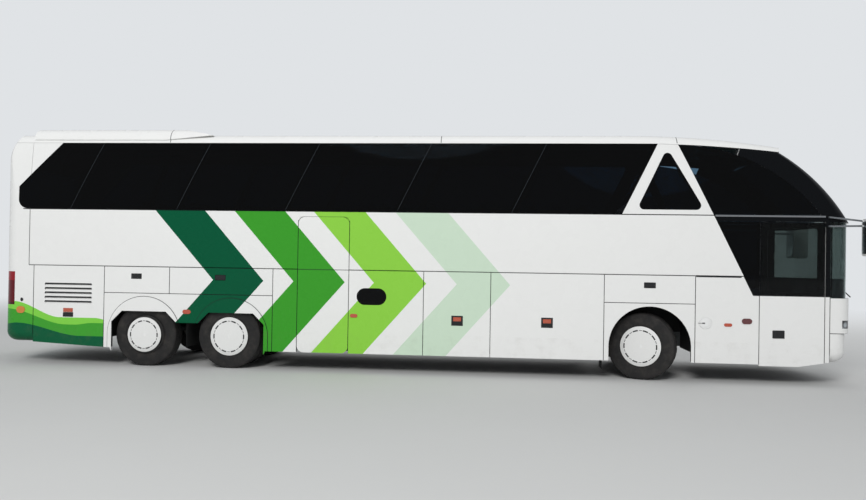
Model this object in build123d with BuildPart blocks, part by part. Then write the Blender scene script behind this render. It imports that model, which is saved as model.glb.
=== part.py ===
from build123d import *
import math
import os

os.makedirs("parts", exist_ok=True)

# Three-axle high-deck touring coach, in millimetres.
# X points forward, Y to the left, Z up. The origin is on the ground under the middle
# of the box that holds the coach with its mirrors. The entrance side is -Y.

# Whole vehicle
BODY_LENGTH = 13700
BODY_WIDTH = 2550
MIRROR_REACH = 180
FRONT_OVERHANG = 3170
WHEELBASE = 6605
TAG_SPACING = 1405
ROOF_TOP_Z = 3845
POD_TOP_Z = 3940
SKIRT_Z = 300
REAR_SKIRT_Z = 360
FORM_LOW_Z = 250

# Cross-section of the body: flat side, leaning glass band, roof corner, roof crown
LEAN_START_Z = 2545
LEAN_RADIUS = 9000
ROOF_CORNER_R = 200
ROOF_CROWN_R = 9000

# Roof line ahead of the rear two thirds bends down towards the windscreen
ROOF_BEND_X = 3300
ROOF_BEND_R = 14000
ROOF_BEND_ARC = 16.5
CANTRAIL_Z = 3640
CANTRAIL_BEND_R = 20000
ROOF_LIP_X = 5720

# Plan shape of the two ends
FRONT_PLAN_R = 3400
FRONT_CORNER_R = 200
REAR_PLAN_R = 8000
REAR_CORNER_R = 250
REAR_TOP_R = 610
REAR_TOP_AXIS_Z = 3345
BUMPER_ROUND_R = 160

# Upper windscreen: a plan outline turned about a lateral axis
DOME_AXIS_X = 3994
DOME_AXIS_Z = 1000
DOME_R = 3137
DOME_ARC = 70
DOME_FROM_X = 4800
PILLAR_RADIUS = 2620
SCREEN_HALF_W = 1120

# Walls and glass
WALL_T = 45
GLASS_T = 10
GLASS_BED = 0.3
SEAM = 5
PANE_GAP = 6

# Horizontal seams of the side
BELT_Z = 1620
SERVICE_SEAM_Z = 1188
GLASS_LOW_Z = 2545
DOOR_SPLIT_Z = 1330
LOWER_SCREEN_TOP_Z = 2450
UPPER_SCREEN_LOW_Z = 2520
HEADER_LOW_Z = 2455
HEADER_TOP_Z = 2555
MASK_TOP_Z = 1315
MASK_SPLIT_Z = 790
MASK_T = 60
POST_T = 45
POST_REACH = 50
POST_LOW_Z = 530
BUMPER_LOW_Z = 350

# Vertical seams of the side, from the rear
REAR_CORNER_X = -6400
ENGINE_FLAP_X0 = -6312
ENGINE_FLAP_X1 = -5100
TAG_COVER_X1 = -4000
DRIVE_COVER_X1 = -2290
MID_DOOR_X0 = -1887
MID_DOOR_X1 = -1063
FLAP_REAR_X0 = 130
FLAP_REAR_X1 = 1180
FLAP_FRONT_X1 = 2917
FRONT_COVER_X1 = 4280
DOOR_X0 = 5222
DOOR_X1 = 6164
PILLAR_X1 = 6240
MID_DOOR_TOP_Z = 2455
DOOR_TOP_Z = 2447
DOOR_LOW_Z = 278
DOOR_CORNER_R = 110

# Slanted window lines lean forward at the top
WINDOW_SLOPE = 0.49
A_LINE_X = 5126
A_LINE_Z = 1341
FIRST_DIVIDER_X = 1482
DIVIDER_PITCH = 1797
DIVIDER_COUNT = 5
WINDOW_REAR_X = -6600
WINDOW_REAR_TOP_X = -5886
WINDOW_CORNER_R = 150
WINDOW_REAR_H = 360
WINDOW_FLANGE = 45
TRIANGLE_FLANGE = 30
DOOR_GLASS_FLANGE = 35
QUARTER_LOW_Z = 1450
DRIVER_WINDOW_Z = 1390
TRIANGLE_APEX_X = 3842
TRIANGLE_TOP_Z = 3575
TRIANGLE_LOW_Z = 2620
TRIANGLE_REAR_X = 3390
TRIANGLE_FRONT_X = 4400
TRIANGLE_R = 70
LEG_FOOT_X = 3170

# Wheels and tyres
TYRE_R = 516
TYRE_W = 280
RIM_R = 285
RIM_T = 14
RIM_W = 250
TWIN_SPACING = 335
COVER_R = 308
TAG_COVER_R = 280
COVER_T = 6
COVER_BULGE = 26
TAG_COVER_PROUD = 45
COVER_SLOTS = 10
COVER_SLOT_L = 46
COVER_SLOT_W = 9
HUB_R = 110
SPINDLE_R = 40
RUN_CLEARANCE = 0.05
FRONT_WHEEL_Y = 1045
TAG_WHEEL_Y = 1060
TWIN_WHEEL_Y = 1068

# Steering
KINGPIN_Y = 895
KINGPIN_R = 20
STEER_REST = 20
STEER_ARM = 200
STEER_ARM_Z = 606
BALL_PIN_R = 12
TIE_ROD_R = 17

# Wheel arches
ARCH_R = 617
ARCH_TOP_Z = 1139
ARCH_AHEAD = 19
REAR_ARCH_TOP_Z = 897
REAR_ARCH_HALF = 545
REAR_ARCH_SLANT = 175
DRIVE_ARCH_AHEAD = 43
FLARE_R = 612
FLARE_W = 8
HOUSING_T = 15
HOUSING_TOP_Z = 1170
HOUSING_HALF = 665
FRONT_HOUSING_Y = 490
REAR_HOUSING_Y = 550

# Floors and frame
DECK_Z = 1600
DECK_T = 40
COCKPIT_Z = 950
STEP_Z = 360
BAY_FLOOR_Z = 380
PLATE_T = 40
RAIL_Y = 380
RAIL_W = 120
RAIL_Z = 780
RAIL_H = 130
DECK_FRONT_X = 4450
DECK_REAR_X = -6600
COCKPIT_FRONT_X = 6580
RAIL_SIDE_T = 40
RAIL_FRONT_X = 6340
RAIL_REAR_X = -5190
BULKHEAD_FRONT_X = 2915
BULKHEAD_REAR_X = -2280
BULKHEAD_T = 25
BAY_HALF_W = 1205
BEARER_Z = 406
BEARER_TOP_Z = 505
BEARER_REAR_X = -6740
BELT_RAIL_Z0 = 1560
BELT_RAIL_Z1 = 1680
BELT_RAIL_FRONT_X = 5000
TOW_EYE_X = 6450
TOW_EYE_W = 60
TOW_EYE_Z = 820
TOW_EYE_T = 35
TOW_PIN_D = 42
TREAD_T = 25
STAIR_OUT_Y = 1222
FRONT_STAIR_X0 = 5235
FRONT_STAIR_X1 = 6150
FRONT_STAIR_IN_Y = -600
MID_STAIR_IN_Y = -220
AISLE_TREAD = 290
AISLE_HALF_W = 300
AISLE_Z0 = 1165
AISLE_Z1 = 1380
HOUSING_LOW_Z = 450
HOUSING_WALL_Z = 700

# Doors
ARM_R = 550
ARM_POST_R = 20
ARM_POST_Y = 1120
ARM_POST_INSET = 95
ARM_REST_DEG = 3
ARM_BEND_ALONG = 122
ARM_BEND_IN = 172
ARM_BAR_W = 44
ARM_BAR_T = 16
FRONT_ARM_LEVELS = [950, 2400]
MID_ARM_LEVELS = [950, 2300]
MID_ARM_R = 500
ARM_PIN_R = 9
LUG_HALF_W = 28
LUG_T = 20
LUG_ROOT = 4
BRACKET_HALF_L = 40
BRACKET_ROOT = 10
BRACKET_PAST = 35
BRACKET_T = 20
PIN_PROUD = 5
DOOR_SLOPE_X = 5790
DOOR_FRONT_LOW_Z = 340
DOOR_FRAME_W = 14
DOOR_SIGHT_X0 = 5331
DOOR_SIGHT_X1 = 6065
DOOR_SIGHT_Z0 = 1392
DOOR_SIGHT_Z1 = 2357
DOOR_HANDLE_X = 5503
DOOR_HANDLE_Z = 756
DOOR_HANDLE_H = 125
MARKER_T = 8

# Panels, flaps and lamps
LOUVRE_X0 = -6119
LOUVRE_X1 = -5308
LOUVRE_COUNT = 5
LOUVRE_LOW_Z = 1018
LOUVRE_PITCH = 72
LOUVRE_H = 40
LOUVRE_T = 5
LOUVRE_INSET = 6
HANDLE_Z = 815
HANDLE_W = 178
HANDLE_H = 76
HANDLE_D = 18
COVER_HANDLE_Z = 1462
COVER_HANDLE_H = 90
POCKET_R = 12
FLARE_Z = 525
LAVATORY_X0 = -931
LAVATORY_X1 = -456
LAVATORY_Z0 = 1072
LAVATORY_Z1 = 1337
HEADLAMP_X = 6420
HEADLAMP_Y = 620
HEADLAMP_Z0 = 865
HEADLAMP_Z1 = 985
BUMPER_T = 40
BUMPER_JOINT_Y = 300
TOW_WAY_X = 6560

# Flap hinges
BEAD_HINGE_R = 5
BEAD_GAP = 0.3
HINGE_BEVEL = 8
FLAP_T = 40

# Roof hatches and pod
HATCH_PLACES = [-450, 3540]
HATCH_L = 640
HATCH_W = 620
HATCH_D = 30
HATCH_R = 60
HATCH_RISE = 22
HATCH_EDGE_R = 15
POD_REAR_X = -6390
POD_FRONT_X = -3360
POD_SLOPE_X = -4132
POD_FRONT_Z = 3770
POD_LOW_Z = 3690
POD_REAR_R = 110

# Rear end
LID_HALF_W = 850
LID_LOW_Z = 800
LID_TOP_Z = 1560
LID_R = 8
LID_HOLE_R = 3
LID_FOOT_GAP = 10
LID_BEAD_HALF_L = 250
LID_LOUVRE_COUNT = 5
LID_LOUVRE_Z = 1130
LID_LOUVRE_HALF_L = 500
LID_BLADE_INSET = 22
REAR_GLASS_HALF_W = 950
REAR_GLASS_LOW_Z = 2560
REAR_GLASS_TOP_Z = 3330
REAR_GLASS_R = 120
REAR_CUT_D = 420
REAR_HOLE_Y = 1060
TAIL_LAMP_Z0 = 962
TAIL_LAMP_Z1 = 1507
TAIL_LAMP_X1 = -6640
TAIL_LAMP_Y = 1010

# Axles and knuckles
BEAM_HALF_L = 880
BEAM_W = 100
BEAM_Z0 = 455
BEAM_Z1 = 540
BEAM_WAIST = 0.5
EYE_Z0 = 450
EYE_Z1 = 580
EYE_R = 45
LUG_LOW_Z = 405
LUG_HIGH_Z = 625
KNUCKLE_R = 42
THRUST_GAP = 0.3
WEB_Y = 51
WEB_T = 28
SPINDLE_PAST = 35
STEER_ARM_T = 24
STEER_ARM_W = 36
TIE_ROD_Z = 565
TIE_EYE_H = 36
TIE_EYE_R = 28
BALL_CLEARANCE = 0.05
AXLE_TUBE_END = 560
AXLE_TUBE_R = 60
DIFF_R = 210
SPRING_R = 105
SPRING_NECK = 0.75
RIM_LIP = 10
RIM_FLANGE_R = 303
SINGLE_DISC_AT = 40
DISC_FACE_R = 185
DISC_ROOT = 15
TWIN_ROOT = 100
FRONT_HUB_IN = 60
TAG_HUB_IN = 90
TWIN_HUB_IN = 260
HUB_END_GAP = 5
COVER_SLIT_AT = 0.8
COVER_FLAT = 0.85
COVER_BEVEL = 22
COVER_BOSS_R = 60
BEAD_IN_R = RIM_R + GLASS_BED
BEAD_HALF = 112
WAIST_R = 400
TREAD_HALF = 128
SHOULDER_DROP = 20

# Driver's place
STEER_X = 5750
STEER_Y = 650
STEER_Z = 1700
STEER_TILT = 35
STEER_R = 225
STEER_GRIP_R = 16
STEER_HUB_R = 45
STEER_HUB_H = 60
STEER_SPOKES = (30, 150, 270)
STEER_SPOKE_W = 36
STEER_COLUMN_R = 35
STEER_COLUMN_L = 450
DASH_X = 5950
DASH_TOP_Z = 1600
KNEE_X1 = 6350
KNEE_Y0 = 250
KNEE_Y1 = 1050
KNEE_TOP_Z = 1400
DRIVER_SEAT_X = 5080
DRIVER_SEAT_W = 520

# Engine and mirrors
ENGINE_X0 = -6600
ENGINE_X1 = -5350
ENGINE_HALF_W = 450
ENGINE_H = 845
ENGINE_R = 80
MIRROR_X0 = 6670
MIRROR_Y0 = 1300
MIRROR_Y1 = 1620
MIRROR_Z0 = 1950
MIRROR_Z1 = 2500
MIRROR_R = 60
MIRROR_ROUND = 25
MIRROR_TUBES = [(2391, 2400), (2525, 2470)]
MIRROR_FOOT_X = 6205
MIRROR_TUBE_R = 14
MIRROR_STEP = 40

# Seats
SEAT_LEG_H = 350
SEAT_LEG_X = 80
SEAT_LEG_L = 250
SEAT_LEG_W = 60
SEAT_HEAD_DROP = 60
SEAT_PITCH = 790
SEAT_ROWS = 13
SEAT_FIRST_X = 3600
SEAT_W = 930
SEAT_Y = 730
SEAT_CUSHION_T = 110
SEAT_CUSHION_L = 470
SEAT_BACK_H = 720
SEAT_BACK_T = 95
SEAT_LEAN = 14

# Places worked out from the sizes above
REAR_X = -(BODY_LENGTH + MIRROR_REACH) / 2
FRONT_X = REAR_X + BODY_LENGTH
SIDE_Y = BODY_WIDTH / 2
FRONT_AXLE_X = FRONT_X - FRONT_OVERHANG
DRIVE_AXLE_X = FRONT_AXLE_X - WHEELBASE
TAG_AXLE_X = DRIVE_AXLE_X - TAG_SPACING
AXLE_Z = TYRE_R
INNER_Y = SIDE_Y - WALL_T
ROOF_BEND_Z = ROOF_TOP_Z - ROOF_BEND_R
MASK_X = FRONT_X
SCREEN_X = FRONT_X - 45
BUMPER_X = FRONT_X - 55
DRIVE_ARCH_X = DRIVE_AXLE_X + DRIVE_ARCH_AHEAD
RIGHT = -1
LEFT = 1
SIDES = {"right": RIGHT, "left": LEFT}
BEAD_Y = SIDE_Y - BEAD_HINGE_R
BEAD_Z = BELT_Z - BEAD_HINGE_R
WALL_LOW_Z = BELT_Z + BEAD_GAP
PANEL_TOP_Z = WALL_LOW_Z - SEAM
FRONT_POST_X = DOOR_X0 + ARM_POST_INSET
FRONT_POST_TOP_Z = HEADER_LOW_Z - GLASS_BED
MID_POST_X = MID_DOOR_X1 - ARM_POST_INSET
MID_POST_TOP_Z = MID_DOOR_TOP_Z + SEAM


def polar(centre, radius, angle):
    """Point at an angle in degrees on a circle."""
    a = math.radians(angle)
    return (centre[0] + radius * math.cos(a), centre[1] + radius * math.sin(a))


def circle_meet(c1, r1, c2, r2):
    """Upper crossing of two circles."""
    dx = c2[0] - c1[0]
    dy = c2[1] - c1[1]
    d = math.hypot(dx, dy)
    a = (r1 * r1 - r2 * r2 + d * d) / (2 * d)
    h = math.sqrt(r1 * r1 - a * a)
    crossings = [
        (c1[0] + (a * dx - s * h * dy) / d, c1[1] + (a * dy + s * h * dx) / d)
        for s in (-1, 1)
    ]
    return max(crossings, key=lambda p: p[1])


def heading(p, q):
    """Angle in degrees of the line from p to q."""
    return math.degrees(math.atan2(q[1] - p[1], q[0] - p[0]))


def section_fill(x, inset, top=ROOF_TOP_Z):
    """Whole cross-section of the body at x, drawn in from the outer skin by inset."""
    lean_c = (LEAN_RADIUS - SIDE_Y, LEAN_START_Z)
    crown_c = (0, top - ROOF_CROWN_R)
    corner_c = circle_meet(
        lean_c, LEAN_RADIUS - ROOF_CORNER_R, crown_c, ROOF_CROWN_R - ROOF_CORNER_R
    )
    lean_end = heading(lean_c, corner_c)
    crown_end = heading(crown_c, corner_c)
    stations = [
        (lean_c, LEAN_RADIUS - inset, 180, lean_end),
        (corner_c, ROOF_CORNER_R - inset, lean_end, crown_end),
    ]
    y = SIDE_Y - inset
    with BuildSketch(Plane.YZ.offset(x)) as sk:
        with BuildLine():
            Line((-y, FORM_LOW_Z), (-y, LEAN_START_Z))
            for centre, radius, start, end in stations:
                a = polar(centre, radius, start)
                b = polar(centre, radius, (start + end) / 2)
                c = polar(centre, radius, end)
                ThreePointArc(a, b, c)
                ThreePointArc((-a[0], a[1]), (-b[0], b[1]), (-c[0], c[1]))
            left_end = polar(crown_c, ROOF_CROWN_R - inset, crown_end)
            ThreePointArc(left_end, (0, top - inset), (-left_end[0], left_end[1]))
            Line((y, LEAN_START_Z), (y, FORM_LOW_Z))
            Line((y, FORM_LOW_Z), (-y, FORM_LOW_Z))
        make_face()
    return sk.sketch


def plan_fill(z, end_x, back_x, plan_r, corner_r, inset):
    """Plan region from a rounded end at end_x back to the line x = back_x."""
    way = 1 if end_x > back_x else -1
    y = SIDE_Y - inset
    centre_x = end_x - way * plan_r
    run = math.sqrt((plan_r - corner_r) ** 2 - (SIDE_Y - corner_r) ** 2)
    corner = (centre_x + way * run, SIDE_Y - corner_r)
    meet = heading((centre_x, 0), corner)
    end_from = -meet if way > 0 else meet
    end_arc = 2 * meet if way > 0 else 2 * (180 - meet)
    with BuildSketch(Plane.XY.offset(z)) as sk:
        with BuildLine():
            Line((back_x, -y), (corner[0], -y))
            CenterArc((corner[0], -corner[1]), corner_r - inset, -90, 90 - meet)
            CenterArc((centre_x, 0), plan_r - inset, end_from, end_arc)
            CenterArc(corner, corner_r - inset, meet, 90 - meet)
            Line((corner[0], y), (back_x, y))
            Line((back_x, y), (back_x, -y))
        make_face()
    return sk.sketch


def front_plan(z, end_x, back_x, inset):
    """Front end's plan region."""
    return plan_fill(z, end_x, back_x, FRONT_PLAN_R, FRONT_CORNER_R, inset)


def rear_plan(z, back_x, inset):
    """Rear end's plan region."""
    return plan_fill(z, REAR_X, back_x, REAR_PLAN_R, REAR_CORNER_R, inset)


def side_region(points, radius=0):
    """Closed outline in side view, as a sketch on the XZ plane."""
    with BuildSketch(Plane.XZ) as sk:
        with BuildLine():
            Polyline(*points, close=True)
        make_face()
        if radius:
            fillet(sk.vertices(), radius)
    return sk.sketch


def rect_region(x0, x1, z0, z1, radius=0):
    """Rectangle in side view."""
    return side_region([(x0, z0), (x1, z0), (x1, z1), (x0, z1)], radius)


def body_form(inset):
    """Body as one block, drawn in by inset, open to the front beyond the roof bend."""
    rear_axis_x = REAR_X + REAR_TOP_R
    with BuildPart() as form:
        extrude(section_fill(ROOF_BEND_X, inset), amount=REAR_X - ROOF_BEND_X)
        revolve(
            section_fill(ROOF_BEND_X, inset),
            Axis((ROOF_BEND_X, 0, ROOF_BEND_Z), (0, 1, 0)),
            ROOF_BEND_ARC,
        )
    with BuildPart() as ends:
        extrude(rear_plan(0, FRONT_X, inset), amount=REAR_TOP_AXIS_Z)
        revolve(
            rear_plan(REAR_TOP_AXIS_Z, rear_axis_x, inset),
            Axis((rear_axis_x, 0, REAR_TOP_AXIS_Z), (0, 1, 0)),
            90,
        )
        with Locations((rear_axis_x, 0, REAR_TOP_AXIS_Z)):
            Box(
                FRONT_X - rear_axis_x,
                BODY_WIDTH,
                REAR_TOP_R * 2,
                align=(Align.MIN, Align.CENTER, Align.MIN),
            )
    return form.part & ends.part


outer_form = body_form(0)
glass_form = body_form(GLASS_T)
rebate_form = body_form(GLASS_T + GLASS_BED)
inner_form = body_form(WALL_T)


def finish(piece, name):
    """Label a finished sub-part and write it."""
    piece.label = name
    export_step(piece, f"parts/{name}.step")


def a_line_x(z):
    """Slanted line between the white side and the dark front, at height z."""
    return A_LINE_X - (z - A_LINE_Z) * WINDOW_SLOPE


def cantrail_z(x):
    """Height of the seam between glass band and roof."""
    if x <= ROOF_BEND_X:
        return CANTRAIL_Z
    run = x - ROOF_BEND_X
    return CANTRAIL_Z - CANTRAIL_BEND_R + math.sqrt(CANTRAIL_BEND_R**2 - run * run)


def below_cantrail(clearance):
    """Side-view region under the roof seam, lowered by a clearance."""
    x_end = FRONT_X
    x_mid = (ROOF_BEND_X + x_end) / 2
    with BuildSketch(Plane.XZ) as sk:
        with BuildLine():
            Line((REAR_X - 100, SKIRT_Z), (REAR_X - 100, CANTRAIL_Z - clearance))
            Line(
                (REAR_X - 100, CANTRAIL_Z - clearance),
                (ROOF_BEND_X, CANTRAIL_Z - clearance),
            )
            ThreePointArc(
                (ROOF_BEND_X, CANTRAIL_Z - clearance),
                (x_mid, cantrail_z(x_mid) - clearance),
                (x_end, cantrail_z(x_end) - clearance),
            )
            Line((x_end, cantrail_z(x_end) - clearance), (x_end, SKIRT_Z))
            Line((x_end, SKIRT_Z), (REAR_X - 100, SKIRT_Z))
        make_face()
    return sk.sketch


def side_half(region, side):
    """Prism of a side-view region, reaching from the middle out past one side."""
    with BuildPart() as half:
        extrude(region, amount=-side * BODY_WIDTH)
    return half.part


# Window openings of one side, each as a glass outline and an inner cut
def slanted(x_low, z):
    """Divider line that passes x_low at the foot of the glass band."""
    return x_low + (z - GLASS_LOW_Z) * WINDOW_SLOPE


def band_panes():
    """Glass outlines of the side, in side view, from the rear pane to the front one."""
    low = GLASS_LOW_Z + SEAM
    top = CANTRAIL_Z
    half = PANE_GAP / 2
    feet = [FIRST_DIVIDER_X - DIVIDER_PITCH * k for k in range(DIVIDER_COUNT)]
    feet.reverse()
    panes = [
        [
            (WINDOW_REAR_X, low),
            (feet[0] - half, low),
            (slanted(feet[0], top) - half, top),
            (WINDOW_REAR_TOP_X, top),
            (WINDOW_REAR_X, low + WINDOW_REAR_H),
        ]
    ]
    for a, b in zip(feet, feet[1:]):
        panes.append(
            [
                (a + half, low),
                (b - half, low),
                (slanted(b, top) - half, top),
                (slanted(a, top) + half, top),
            ]
        )
    last = feet[-1]
    panes.append(
        [
            (last + half, low),
            (LEG_FOOT_X, low),
            (slanted(LEG_FOOT_X, top), top),
            (slanted(last, top) + half, top),
        ]
    )
    return panes


def glass_band():
    """Outline of the whole glass band, for the rebate that all its panes lie in."""
    low = GLASS_LOW_Z + SEAM
    return [
        (WINDOW_REAR_X, low),
        (LEG_FOOT_X, low),
        (slanted(LEG_FOOT_X, CANTRAIL_Z), CANTRAIL_Z),
        (WINDOW_REAR_TOP_X, CANTRAIL_Z),
        (WINDOW_REAR_X, low + WINDOW_REAR_H),
    ]


TRIANGLE = [
    (TRIANGLE_REAR_X, TRIANGLE_LOW_Z),
    (TRIANGLE_FRONT_X, TRIANGLE_LOW_Z),
    (TRIANGLE_APEX_X, TRIANGLE_TOP_Z),
]
QUARTER_LIGHT = [
    (a_line_x(QUARTER_LOW_Z) + SEAM, QUARTER_LOW_Z),
    (DOOR_X0 - SEAM, QUARTER_LOW_Z),
    (DOOR_X0 - SEAM, LOWER_SCREEN_TOP_Z - SEAM),
    (a_line_x(LOWER_SCREEN_TOP_Z) + SEAM, LOWER_SCREEN_TOP_Z - SEAM),
]
DRIVER_WINDOW = [
    (DOOR_X0, DRIVER_WINDOW_Z),
    (DOOR_X1 - SEAM, DRIVER_WINDOW_Z),
    (DOOR_X1 - SEAM, LOWER_SCREEN_TOP_Z - SEAM),
    (DOOR_X0, LOWER_SCREEN_TOP_Z - SEAM),
]


def pane_region(points, grow=0, radius=0, corner=None):
    """Side-view outline, grown or drawn in, with all corners or one corner rounded."""
    with BuildSketch(Plane.XZ) as sk:
        with BuildLine():
            Polyline(*points, close=True)
        make_face()
        if grow:
            offset(amount=grow, kind=Kind.INTERSECTION)
        if corner:
            near = Vector(corner[0], corner[1])
            fillet(sk.vertices().sort_by_distance(near)[0], radius)
        elif radius:
            fillet(sk.vertices(), radius)
    return sk.sketch


def box_between(x0, x1, y0, y1, z0, z1):
    """Box between two corners."""
    with BuildPart() as box:
        with Locations(((x0 + x1) / 2, (y0 + y1) / 2, (z0 + z1) / 2)):
            Box(abs(x1 - x0), abs(y1 - y0), abs(z1 - z0))
    return box.part


def cylinder_between(x, y, z0, z1, radius):
    """Upright round bar."""
    with BuildPart() as bar:
        with BuildSketch(Plane.XY.offset(z0)) as bar_outline:
            with Locations((x, y)):
                Circle(radius)
        extrude(amount=z1 - z0)
    return bar.part


def rod_between(start, end, radius):
    """Round bar between two points."""
    direction = Vector(*end) - Vector(*start)
    with BuildPart() as rod:
        with BuildSketch(Plane(origin=start, z_dir=direction)) as rod_outline:
            Circle(radius)
        extrude(amount=direction.length)
    return rod.part


def ring_between(z0, z1, end_x, thickness, back_x):
    """Wall that follows the front plan outline between two heights."""
    with BuildPart() as ring:
        extrude(front_plan(z0, end_x, back_x, 0), amount=z1 - z0)
        extrude(front_plan(z0, end_x, back_x, thickness), amount=z1 - z0, mode=Mode.SUBTRACT)
    return ring.part


def union(pieces):
    """One part of many solids that stand apart."""
    whole = pieces[0]
    for piece in pieces[1:]:
        whole = whole + piece
    return whole


# Thin layers of the body's skin, and the line under the roof seam
wall_form = outer_form - inner_form
glass_skin = outer_form - glass_form
rebate_skin = outer_form - rebate_form
under_roof = side_half(below_cantrail(0), RIGHT) + side_half(below_cantrail(0), LEFT)
seam_line = under_roof - side_half(below_cantrail(SEAM), RIGHT) - side_half(below_cantrail(SEAM), LEFT)
roof_groove = rebate_skin & seam_line

glass_region_cuts = {}
opening_cuts = {}
pane_solids = []
tip = (WINDOW_REAR_X, GLASS_LOW_Z)
foot = (LEG_FOOT_X, GLASS_LOW_Z)
for side_name, side in SIDES.items():
    outlines = [QUARTER_LIGHT]
    if side == LEFT:
        outlines = outlines + [DRIVER_WINDOW]
    rebates = [pane_region(glass_band(), GLASS_BED, WINDOW_CORNER_R, tip)]
    rebates.append(pane_region(TRIANGLE, GLASS_BED, TRIANGLE_R))
    openings = [pane_region(p, -WINDOW_FLANGE, WINDOW_FLANGE) for p in band_panes()]
    openings.append(pane_region(TRIANGLE, -TRIANGLE_FLANGE, TRIANGLE_R / 2))
    for points in outlines:
        rebates.append(pane_region(points, GLASS_BED))
        openings.append(pane_region(points, -DOOR_GLASS_FLANGE, DOOR_GLASS_FLANGE / 2))
    glass_region_cuts[side_name] = [side_half(r, side) & rebate_skin for r in rebates]
    opening_cuts[side_name] = [side_half(r, side) for r in openings]
    panes = band_panes()
    regions = [pane_region(panes[0], 0, WINDOW_CORNER_R, tip)]
    for points in panes[1:]:
        regions.append(pane_region(points))
    regions.append(pane_region(TRIANGLE, 0, TRIANGLE_R))
    for points in outlines:
        regions.append(pane_region(points))
    for region in regions:
        pane_solids.append((side_half(region, side) & glass_skin) & under_roof)

def post_bracket(post_x, low_z, root_y):
    """Bracket under the header that holds the top of a door's turning post."""
    return box_between(
        post_x - BRACKET_HALF_L,
        post_x + BRACKET_HALF_L,
        root_y,
        -ARM_POST_Y + BRACKET_PAST,
        low_z,
        low_z + BRACKET_T,
    )


# Bevel under the belt seam, so that the flaps can swing past the horizontal
with BuildPart() as belt_bevels:
    with BuildSketch(Plane.YZ.offset(REAR_X)) as bevel_outline:
        for side in (LEFT, RIGHT):
            with BuildLine():
                Polyline(
                    (side * (SIDE_Y - HINGE_BEVEL - SEAM), WALL_LOW_Z - SEAM),
                    (side * (SIDE_Y + SEAM), WALL_LOW_Z + HINGE_BEVEL + SEAM),
                    (side * (SIDE_Y + SEAM), WALL_LOW_Z - SEAM),
                    close=True,
                )
            make_face()
    extrude(amount=BODY_LENGTH)

# Upper side walls, with rebates for the bonded panes and openings behind them
for side_name, side in SIDES.items():
    front_x = DOOR_X1 if side == LEFT else DOOR_X0 - SEAM
    outline = [
        (REAR_CORNER_X + SEAM / 2, WALL_LOW_Z),
        (a_line_x(WALL_LOW_Z), WALL_LOW_Z),
        (a_line_x(DOOR_SPLIT_Z + SEAM), DOOR_SPLIT_Z + SEAM),
        (front_x, DOOR_SPLIT_Z + SEAM),
        (front_x, LOWER_SCREEN_TOP_Z),
        (a_line_x(LOWER_SCREEN_TOP_Z), LOWER_SCREEN_TOP_Z),
        (a_line_x(ROOF_TOP_Z), ROOF_TOP_Z),
        (REAR_CORNER_X + SEAM / 2, ROOF_TOP_Z),
    ]
    side_wall = (wall_form & side_half(side_region(outline), side)) & under_roof
    side_wall = side_wall - roof_groove
    for cut in opening_cuts[side_name]:
        side_wall = side_wall - cut
    for cut in glass_region_cuts[side_name]:
        side_wall = side_wall - cut
    side_wall = side_wall - belt_bevels.part
    if side == RIGHT:
        doorway = rect_region(MID_DOOR_X0 - SEAM, MID_DOOR_X1 + SEAM, 0, MID_DOOR_TOP_Z + SEAM)
        side_wall = side_wall - side_half(doorway, side)
        mid_root_y = -INNER_Y - BRACKET_ROOT
        side_wall = side_wall + post_bracket(MID_POST_X, MID_POST_TOP_Z + GLASS_BED, mid_root_y)
    finish(side_wall, f"side_wall_{side_name}")


# Upper front: the body's skin cut by the domed windscreen outline
def dome_form(inset):
    """Front end above the driver, a plan outline turned about a lateral axis."""
    axis = Axis((DOME_AXIS_X, 0, DOME_AXIS_Z), (0, -1, 0))
    with BuildPart() as form:
        revolve(
            front_plan(DOME_AXIS_Z, DOME_AXIS_X + DOME_R, DOME_AXIS_X, inset), axis, DOME_ARC
        )
    return form.part


def round_region(radius):
    """Disc about the dome's axis in side view."""
    with BuildSketch(Plane.XZ) as sk:
        with Locations((DOME_AXIS_X, DOME_AXIS_Z)):
            Circle(radius)
    return sk.sketch


def ahead_of_lip(inset):
    """Front edge of the roof in plan, as a block behind it."""
    with BuildPart() as block:
        extrude(front_plan(DOME_AXIS_Z, ROOF_LIP_X + inset, REAR_X - SEAM, 0), amount=POD_TOP_Z)
    return block.part


front_end = box_between(
    DOME_FROM_X, FRONT_X, -BODY_WIDTH, BODY_WIDTH, LOWER_SCREEN_TOP_Z + GLASS_BED, POD_TOP_Z
)
dome_block = dome_form(0) & front_end
screen_skin = (dome_block - dome_form(GLASS_T)) & outer_form
screen_bed = dome_block - dome_form(GLASS_T + GLASS_BED)
dome_shell = ((dome_block - dome_form(WALL_T)) & outer_form) + (wall_form & dome_block)
roof_block = ahead_of_lip(0)
lip_clear = ahead_of_lip(SEAM)
above_crossbar = box_between(
    DOME_AXIS_X, FRONT_X, -BODY_WIDTH, BODY_WIDTH, UPPER_SCREEN_LOW_Z, POD_TOP_Z
)
screen_width = box_between(
    DOME_AXIS_X, FRONT_X, -SCREEN_HALF_W, SCREEN_HALF_W, UPPER_SCREEN_LOW_Z, POD_TOP_Z
)
screen_bed_width = box_between(
    DOME_AXIS_X,
    FRONT_X,
    -SCREEN_HALF_W - GLASS_BED,
    SCREEN_HALF_W + GLASS_BED,
    FORM_LOW_Z,
    POD_TOP_Z,
)
flange_width = box_between(
    DOME_AXIS_X,
    FRONT_X,
    -SCREEN_HALF_W + WINDOW_FLANGE,
    SCREEN_HALF_W - WINDOW_FLANGE,
    FORM_LOW_Z,
    POD_TOP_Z,
)

# Windscreens: the domed upper screen and the lower screen that wraps both corners
upper_screen = (screen_skin & screen_width) - lip_clear
lower_screen = ring_between(
    MASK_TOP_Z + GLASS_BED, LOWER_SCREEN_TOP_Z, SCREEN_X, GLASS_T, PILLAR_X1 + SEAM
)
finish(union([upper_screen, lower_screen]), "windscreens")

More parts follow.
